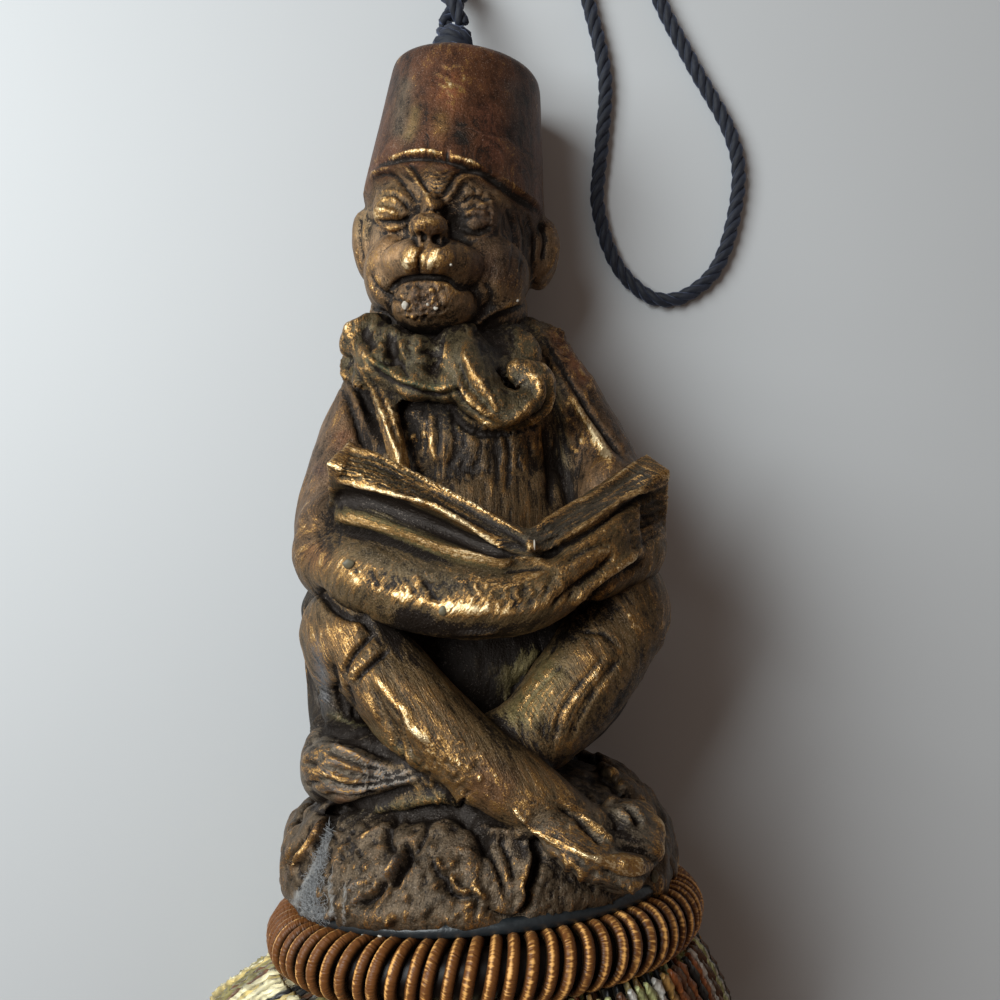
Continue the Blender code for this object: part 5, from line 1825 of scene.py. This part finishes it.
@dataclass
class GimpRing:
    """A ring of gimp: satin-wound cord, coiled round a core."""

    finish: SatinGimp
    glue: Plain
    turns: int = 80
    steps: int = 24
    tube: float = 3.95
    wire: float = 0.76
    core: float = 2.8
    slack: float = 0.24
    uneven: float = 0.25
    glue_reach: float = 25.7
    glue_height: float = 4.6

    def build(self) -> list[bpy.types.Object]:
        """Builds the coil and its core. Returns their pieces."""
        rng = np.random.default_rng(11)
        count = self.turns * self.steps
        turn = np.arange(count + 1) / self.steps
        knots = np.arange(self.turns + 2)
        loose = np.cumsum(rng.normal(0, self.slack, self.turns + 2))
        loose -= np.linspace(loose[0], loose[-1], len(loose))
        around = math.tau * (turn + np.interp(turn, knots, loose * 0.5)) / self.turns
        swell = np.interp(turn, knots, rng.uniform(-self.uneven, self.uneven, self.turns + 2))
        section = math.tau * turn
        out = self.tube - self.wire + swell * 0.5
        reach = RING_MAJOR + out * np.cos(section)
        lean = 0.016 * np.sin(section)
        path = np.stack([reach * np.cos(around + lean), reach * np.sin(around + lean),
                         out * np.sin(section)], 1)
        shapes = Shapes()
        sides = 9
        radii = np.full((1, len(path)), self.wire)
        points, quads, caps = sweep(path[None], round_outline(sides), radii)
        flat = np.linalg.norm(points[:, :2], axis=1)
        # How far out a point lies from the core; the finish paints the low ones near-black as shade in
        # the gaps between turns.
        lift = np.hypot(flat - RING_MAJOR, points[:, 2]) - (self.tube - 2 * self.wire)
        centre = np.repeat(path, sides, axis=0)
        forward = np.stack([-np.sin(around), np.cos(around), around * 0], 1)
        sideways = ((points - centre) * np.repeat(forward, sides, axis=0)).sum(1) / self.wire
        # A painted highlight: a bright stripe along one side of each turn's outer face.
        gloss = bell(sideways + 0.40, 0.42) * np.clip(lift / self.wire - 0.9, 0, 1)
        shapes.add(points, quads, caps, run=np.repeat(run_length(path), sides),
                   turn=round_sides(sides, len(path)), lift=lift / (2 * self.wire),
                   gloss=gloss)
        # The core has no lift, so the finish paints all of it in the near-black shade of the gaps.
        steps = 120
        core = np.linspace(0, math.tau, steps)
        ring = np.stack([RING_MAJOR * np.cos(core), RING_MAJOR * np.sin(core), core * 0], 1)
        points, quads, _ = sweep(ring[None], round_outline(12), np.full((1, steps), self.core))
        none = np.zeros(len(points))
        shapes.add(points, quads, run=none, turn=none, lift=none, gloss=none)
        return [piece("gimp_coil", shapes, self.finish.material(), "gimp_ring", "satin_gimp",
                      COIL_FRAME), self.glue_line()]

    def glue_line(self) -> bpy.types.Object:
        """The glue that has squeezed out between the ring and the mound. Returns its piece."""
        turn = np.linspace(0, math.tau, 180)
        round_it = np.stack([np.cos(turn), np.sin(turn), turn * 0], 1)
        uneven = lumps(round_it * 6.0, 4)
        ring = round_it * self.glue_reach
        ring[:, 2] = self.glue_height + 0.2 * uneven
        points, quads, _ = sweep(ring[None], round_outline(10), 1.0 + 0.25 * uneven[None])
        shapes = Shapes()
        shapes.add(points, quads)
        return piece("glue_line", shapes, self.glue.material(), "gimp_ring", "satin_gimp",
                     COIL_FRAME)


@dataclass(frozen=True)
class Layer:
    """One layer of the fringe."""

    piece: str
    count: int
    root_radius: float
    share: float
    lift: float
    pitch: float
    per_turn: int
    sides: int


YARNS = {
    "cream": (0.86, 0.76, 0.46), "straw": (0.62, 0.47, 0.17), "olive": (0.24, 0.20, 0.07),
    "black": (0.012, 0.012, 0.014), "brown": (0.16, 0.066, 0.028),
    "rust": (0.46, 0.14, 0.034), "white": (0.80, 0.77, 0.70), "gold": (0.62, 0.35, 0.10),
    "leaf": (0.66, 0.68, 0.30)}
LEFT_MIX = ("cream", "straw", "cream", "olive", "black", "brown", "straw", "gold")
RIGHT_MIX = ("brown", "rust", "black", "leaf", "gold", "rust", "black", "leaf", "brown",
             "rust", "white")


@dataclass
class BullionFringe:
    """The skirt: twisted yarns that hang from under the ring and lie on the table."""

    finish: TwistedYarn
    length: float = 104.0
    length_spread: float = 5.0
    spread_left: float = 20.0
    spread_right: float = 11.0
    pile: float = 9.5
    thick: float = 1.6
    waist: float = 0.36
    hung_from: float = -3.0
    flare_left: float = 10.0
    flare_right: float = 6.0
    flat_from: float = 0.62
    down_from: float = 0.3
    layers: tuple[Layer, ...] = (
        Layer("outer_yarns", 112, 28.6, 1.0, 0.0, 5.0, 6, 6),
        Layer("inner_yarns", 84, 26.4, 0.86, 1.0, 10.0, 4, 6),
        Layer("inner_yarns", 60, 23.4, 0.72, 2.2, 10.0, 4, 6),
        Layer("inner_yarns", 40, 20.4, 0.56, 3.6, 12.0, 4, 6))

    def routes(self, layer: Layer, steps: int, rng: np.random.Generator) -> np.ndarray:
        """Where the yarns of a layer lie.

        Args:
            layer: The layer.
            steps: Points on each yarn.
            rng: The draw of small differences.
        Returns:
            The points, as (yarns, steps, 3).
        """
        k = np.arange(layer.count)
        turn = math.tau * (k + 0.5 + rng.uniform(-0.22, 0.22, layer.count)) / layer.count
        side, rise = np.cos(turn)[:, None], np.sin(turn)[:, None]
        angle = np.abs((turn + math.pi) % (math.tau) - math.pi)[:, None]
        level = 1 - 2 * angle / math.pi
        length = self.length + rng.uniform(-1, 1, (layer.count, 1)) * self.length_spread
        along = np.linspace(0, 1, steps)[None]
        run = along * length
        flare = 1 - (1 - along) ** np.where(side < 0, self.flare_left, self.flare_right)
        spread = np.where(side < 0, self.spread_left, self.spread_right) * flare * layer.share
        flat = ease(along / self.flat_from)
        across = (side * (1 - flat) + level * flat) * (layer.root_radius + spread)
        tilt, skew = math.radians(LAY_TILT_DEG), math.radians(RING_SKEW_DEG)
        rest = self.thick / 2 + layer.lift
        high = AXIS_HEIGHT + layer.root_radius * rise + along * 0
        low_side = high + (rest - high) * ease(along / self.down_from)
        hump = np.sqrt(np.maximum(0.0, 1 - level ** 2))
        lain_top = rest + self.thick * 1.25 + (self.pile * layer.share - layer.lift) * hump
        lain = np.where(rise < 0, rest, lain_top)
        high = np.where(rise < 0, low_side, high)
        height = high * (1 - flat) + lain * flat
        start = self.hung_from + RING_DROP
        root_y = start * math.cos(tilt) + layer.root_radius * rise * math.sin(tilt)
        root_y = root_y + math.sin(skew) * side * layer.root_radius
        phase = rng.uniform(0, math.tau, (layer.count, 1))
        pace = rng.uniform(0.8, 1.6, (layer.count, 1))
        wave = np.sin(phase + pace * along * 7.0) * along * rng.uniform(0.2, 1.3,
                                                                       (layer.count, 1))
        lift = np.sin(phase * 1.7 + pace * along * 9.0) * 0.5 * along
        across = across + wave
        height = np.maximum(height + lift, self.thick / 2 + 0.02)
        height[:, 0] = (AXIS_HEIGHT - start * math.sin(tilt)
                        + layer.root_radius * rise[:, 0] * math.cos(tilt))
        return np.stack([across, root_y - run, height], -1)

    def tints(self, routes: np.ndarray, rng: np.random.Generator) -> np.ndarray:
        """A colour for each yarn: paler on the left and redder on the right."""
        right = np.clip(routes[:, 1, 0] / 50 + 0.5, 0, 1)
        made = []
        for share in right:
            mix = RIGHT_MIX if rng.uniform() < share else LEFT_MIX
            made.append(YARNS[mix[rng.integers(len(mix))]])
        return np.array(made)

    def build(self) -> list[bpy.types.Object]:
        """Builds the yarns. Returns their pieces."""
        rng = np.random.default_rng(5)
        made = []
        material = self.finish.material()
        for name in dict.fromkeys(layer.piece for layer in self.layers):
            shapes = Shapes()
            for layer in self.layers:
                if layer.piece == name:
                    self.lay(layer, shapes, rng)
            made.append(piece(name, shapes, material, "fringe_skirt", "fringe_yarn",
                              AS_IT_LIES))
        return made

    def lay(self, layer: Layer, shapes: Shapes, rng: np.random.Generator) -> None:
        """Adds the yarns of a layer to the shapes, each of two plies."""
        outline = round_outline(layer.sides)
        outline *= self.waist + (1 - self.waist) * np.abs(outline[:, :1])
        pitch = layer.pitch * 1.0
        steps = int(self.length / pitch * layer.per_turn)
        routes = self.routes(layer, steps, rng)
        tint = self.tints(routes, rng)
        radii = np.full(routes.shape[:2], self.thick / 2)
        radii *= rng.uniform(0.85, 1.1, (layer.count, 1))
        radii[:, -1] *= 0.45
        radii[:, 0] *= 0.6
        twist = np.linspace(0, math.tau * self.length / pitch, steps)[None]
        twist = twist + rng.uniform(0, 6.28, (layer.count, 1))
        points, quads, caps = sweep(routes, outline, radii, twist)
        each = steps * layer.sides
        run = np.tile(np.repeat(np.linspace(0, self.length, steps), layer.sides), layer.count)
        shapes.add(points, quads, caps, tint=colours(np.repeat(tint, each, axis=0)),
                   run=run + np.repeat(np.arange(layer.count) * 7.7, each),
                   turn=round_sides(layer.sides, layer.count * steps))


# ---------------------------------------------------------------- cord

LOOP_STOPS = (
    (-1, 161, 1.3), (4.5, 168.5, 1.3), (13, 166, 1.3), (18.5, 156, 1.3),
    (21, 144.4, 1.3), (23.6, 131, 1.3), (22.6, 118, 1.3), (21.8, 108.5, 1.3),
    (25.3, 97.5, 1.3), (33, 91.9, 1.3), (41.8, 97, 1.3), (46, 110, 1.3),
    (45.2, 120, 1.3), (38.4, 133.5, 1.3), (32.6, 146, 1.3), (28, 163, 1.3),
    (17, 176.5, 1.3), (3, 178.5, 1.3), (-4.6, 170, 1.3))


@dataclass
class HangingCord:
    """The black cord: a long loop with its twisted pair, and the knot drawn on the fez."""

    finish: TwistedYarn
    tint: Triple = (0.0105, 0.0125, 0.020)
    lay: float = 7.5
    sides: int = 8

    def twisted_leg(self, start: np.ndarray, phase: float, steps: int = 9) -> np.ndarray:
        """One cord of the pair that rises twisted from the knot, as it comes to rest."""
        along = np.arange(steps + 1) / steps
        turn = phase + math.tau * along * TWISTED_REACH / PLY_PITCH
        down = ease(along)
        height = start[2] * (1 - down) + (LOOP_HEIGHT + PLY_RADIUS) * down
        return np.stack([start[0] + PLY_RADIUS * np.cos(turn),
                         start[1] + along * TWISTED_REACH,
                         height + PLY_RADIUS * np.sin(turn)], 1)

    def route(self) -> np.ndarray:
        """The cord's middle, in the row frame. Returns the points of the part's source."""
        x, y, z = KNOT_CENTRE
        top = AXIS.points(np.array([(x, y, z + KNOT_HALF + GAP)]))[0] - ROOT_SHIFT
        stops = np.vstack([self.twisted_leg(top, 0.0), LOOP_STOPS,
                           self.twisted_leg(top, math.pi)[::-1]])
        points = evenly(smooth_run(stops, 24), CORD_POINTS)
        points[:, 2] = np.maximum(points[:, 2], LOOP_HEIGHT)
        return points + ROOT_SHIFT

    def strand(self, shapes: Shapes, path: np.ndarray, thick: float, phase: float) -> None:
        """Adds a cord of three plies along a path to the shapes."""
        steps = max(12, int(run_length(path)[-1] / self.lay * 9))
        fine = evenly(smooth_run(path, 6), steps)
        paths, radii = plied(fine, thick, self.lay, phase)
        points, quads, caps = sweep(paths, round_outline(self.sides), radii)
        shapes.add(points, quads, caps,
                   run=np.tile(np.repeat(run_length(fine), self.sides), PLIES),
                   turn=round_sides(self.sides, steps * PLIES),
                   tint=colours(np.tile(self.tint, (len(points), 1))))

    def build(self) -> list[bpy.types.Object]:
        """Builds loop and knot. Returns their pieces."""
        material = self.finish.material()
        route = self.route()
        shapes = Shapes()
        self.strand(shapes, route, CORD_THICK, 0.3)
        loop = piece("cord_loop", shapes, material, "hanging_loop", "black_cord")
        knot = self.knot(material)
        return [loop, knot]

    def knot(self, material: bpy.types.Material) -> bpy.types.Object:
        """The overhand knot, drawn tight. Returns its piece."""
        x, y, z = KNOT_CENTRE
        shapes = Shapes()
        for lift, lean, phase in ((-1.5, 14, 0.0), (0.4, -10, 0.7), (2.0, 12, 1.9)):
            wide = 2.7 - 0.25 * (lift + 1.5)
            turn = np.linspace(0, math.tau, 13) + phase
            flat = np.stack([wide * np.cos(turn), wide * np.sin(turn), 0 * turn], 1)
            path = flat @ turned((lean, 6, 0)).T + (x, y, z + lift)
            self.strand(shapes, path, CORD_THICK, phase)
        core, faces = unit_ball()
        none = np.zeros(len(core))
        shapes.add(core * (3.0, 2.9, 3.2) + (x, y, z), faces, run=none, turn=none,
                   tint=colours(np.tile(self.tint, (len(core), 1))))
        return piece("cord_knot", shapes, material, "top_knot", "black_cord", AXIS)


# ---------------------------------------------------------------- stage

@dataclass
class Studio:
    """The camera, the table and the window light from the upper left."""

    table: Plain
    half_table: float = 1500.0
    drop: float = 0.05
    lens: float = 34.2
    window: Triple = (-0.254, 0.174, 0.304)
    window_side: float = 0.288
    window_watts: float = 2.22
    window_colour: Triple = (0.915, 0.98, 1.0)
    aim: Triple = (0.0, 0.03, 0.02)
    room_colour: tuple = (1.0, 0.78, 0.66, 1)
    room_strength: float = 0.14

    def camera(self) -> None:
        """Puts the camera straight above the casting, as the photograph has it."""
        data = bpy.data.cameras.new("camera")
        data.lens, data.sensor_width, data.clip_start = self.lens, 36.0, 0.001
        obj = in_scene("camera", data)
        obj.location = Vector(FrontDrawing.eye) * MM
        obj.rotation_euler = (0, 0, -FrontDrawing.roll)
        bpy.context.scene.camera = obj

    def light(self) -> None:
        """Adds the window, a square soft light that faces the tassel, and the room's light."""
        data = bpy.data.lights.new("window", "AREA")
        data.size, data.energy, data.color = (self.window_side, self.window_watts,
                                              self.window_colour)
        obj = in_scene("window", data)
        obj.location = self.window
        aim = Vector(self.aim) - Vector(self.window)
        obj.rotation_euler = aim.to_track_quat("-Z", "Y").to_euler()
        world = bpy.data.worlds.new("room")
        world.use_nodes = True
        Graph(world.node_tree).fill(world.node_tree.nodes["Background"], {
            "Color": self.room_colour, "Strength": self.room_strength})
        bpy.context.scene.world = world
        bpy.context.scene.view_settings.view_transform = "Standard"

    def build(self) -> None:
        """Builds the studio."""
        self.camera()
        side = self.half_table
        shapes = Shapes()
        shapes.add([(-side, -side, -self.drop), (side, -side, -self.drop),
                    (side, side, -self.drop), (-side, side, -self.drop)], [(0, 1, 2, 3)])
        floor = in_scene("table", shapes.mesh("table"))
        floor.data.materials.append(self.table.material())
        self.light()


def main() -> None:
    """Builds every piece of the scene in order."""
    logging.basicConfig(level=logging.INFO, format="%(message)s")
    Studio(Plain("pale_table", (0.60, 0.61, 0.62, 1), (0.58, 0.59, 0.60, 1), 0.6,
                 9.0, 0.01)).build()
    HangingCord(BLACK_CORD).build()
    casting = Casting(GiltResin(), MARKS)
    casting.build()
    WHITE_FLECKS.build(casting.drawing)
    GLUE_DROPS.build(casting.drawing)
    GREY_LINT.build(casting.drawing)
    GimpRing(SatinGimp(), Plain("dark_glue", (0.008, 0.011, 0.014, 1),
                                (0.030, 0.035, 0.038, 1), 0.34, 500.0, 0.3)).build()
    BullionFringe(FRINGE_YARN).build()


if __name__ == "__main__":
    main()
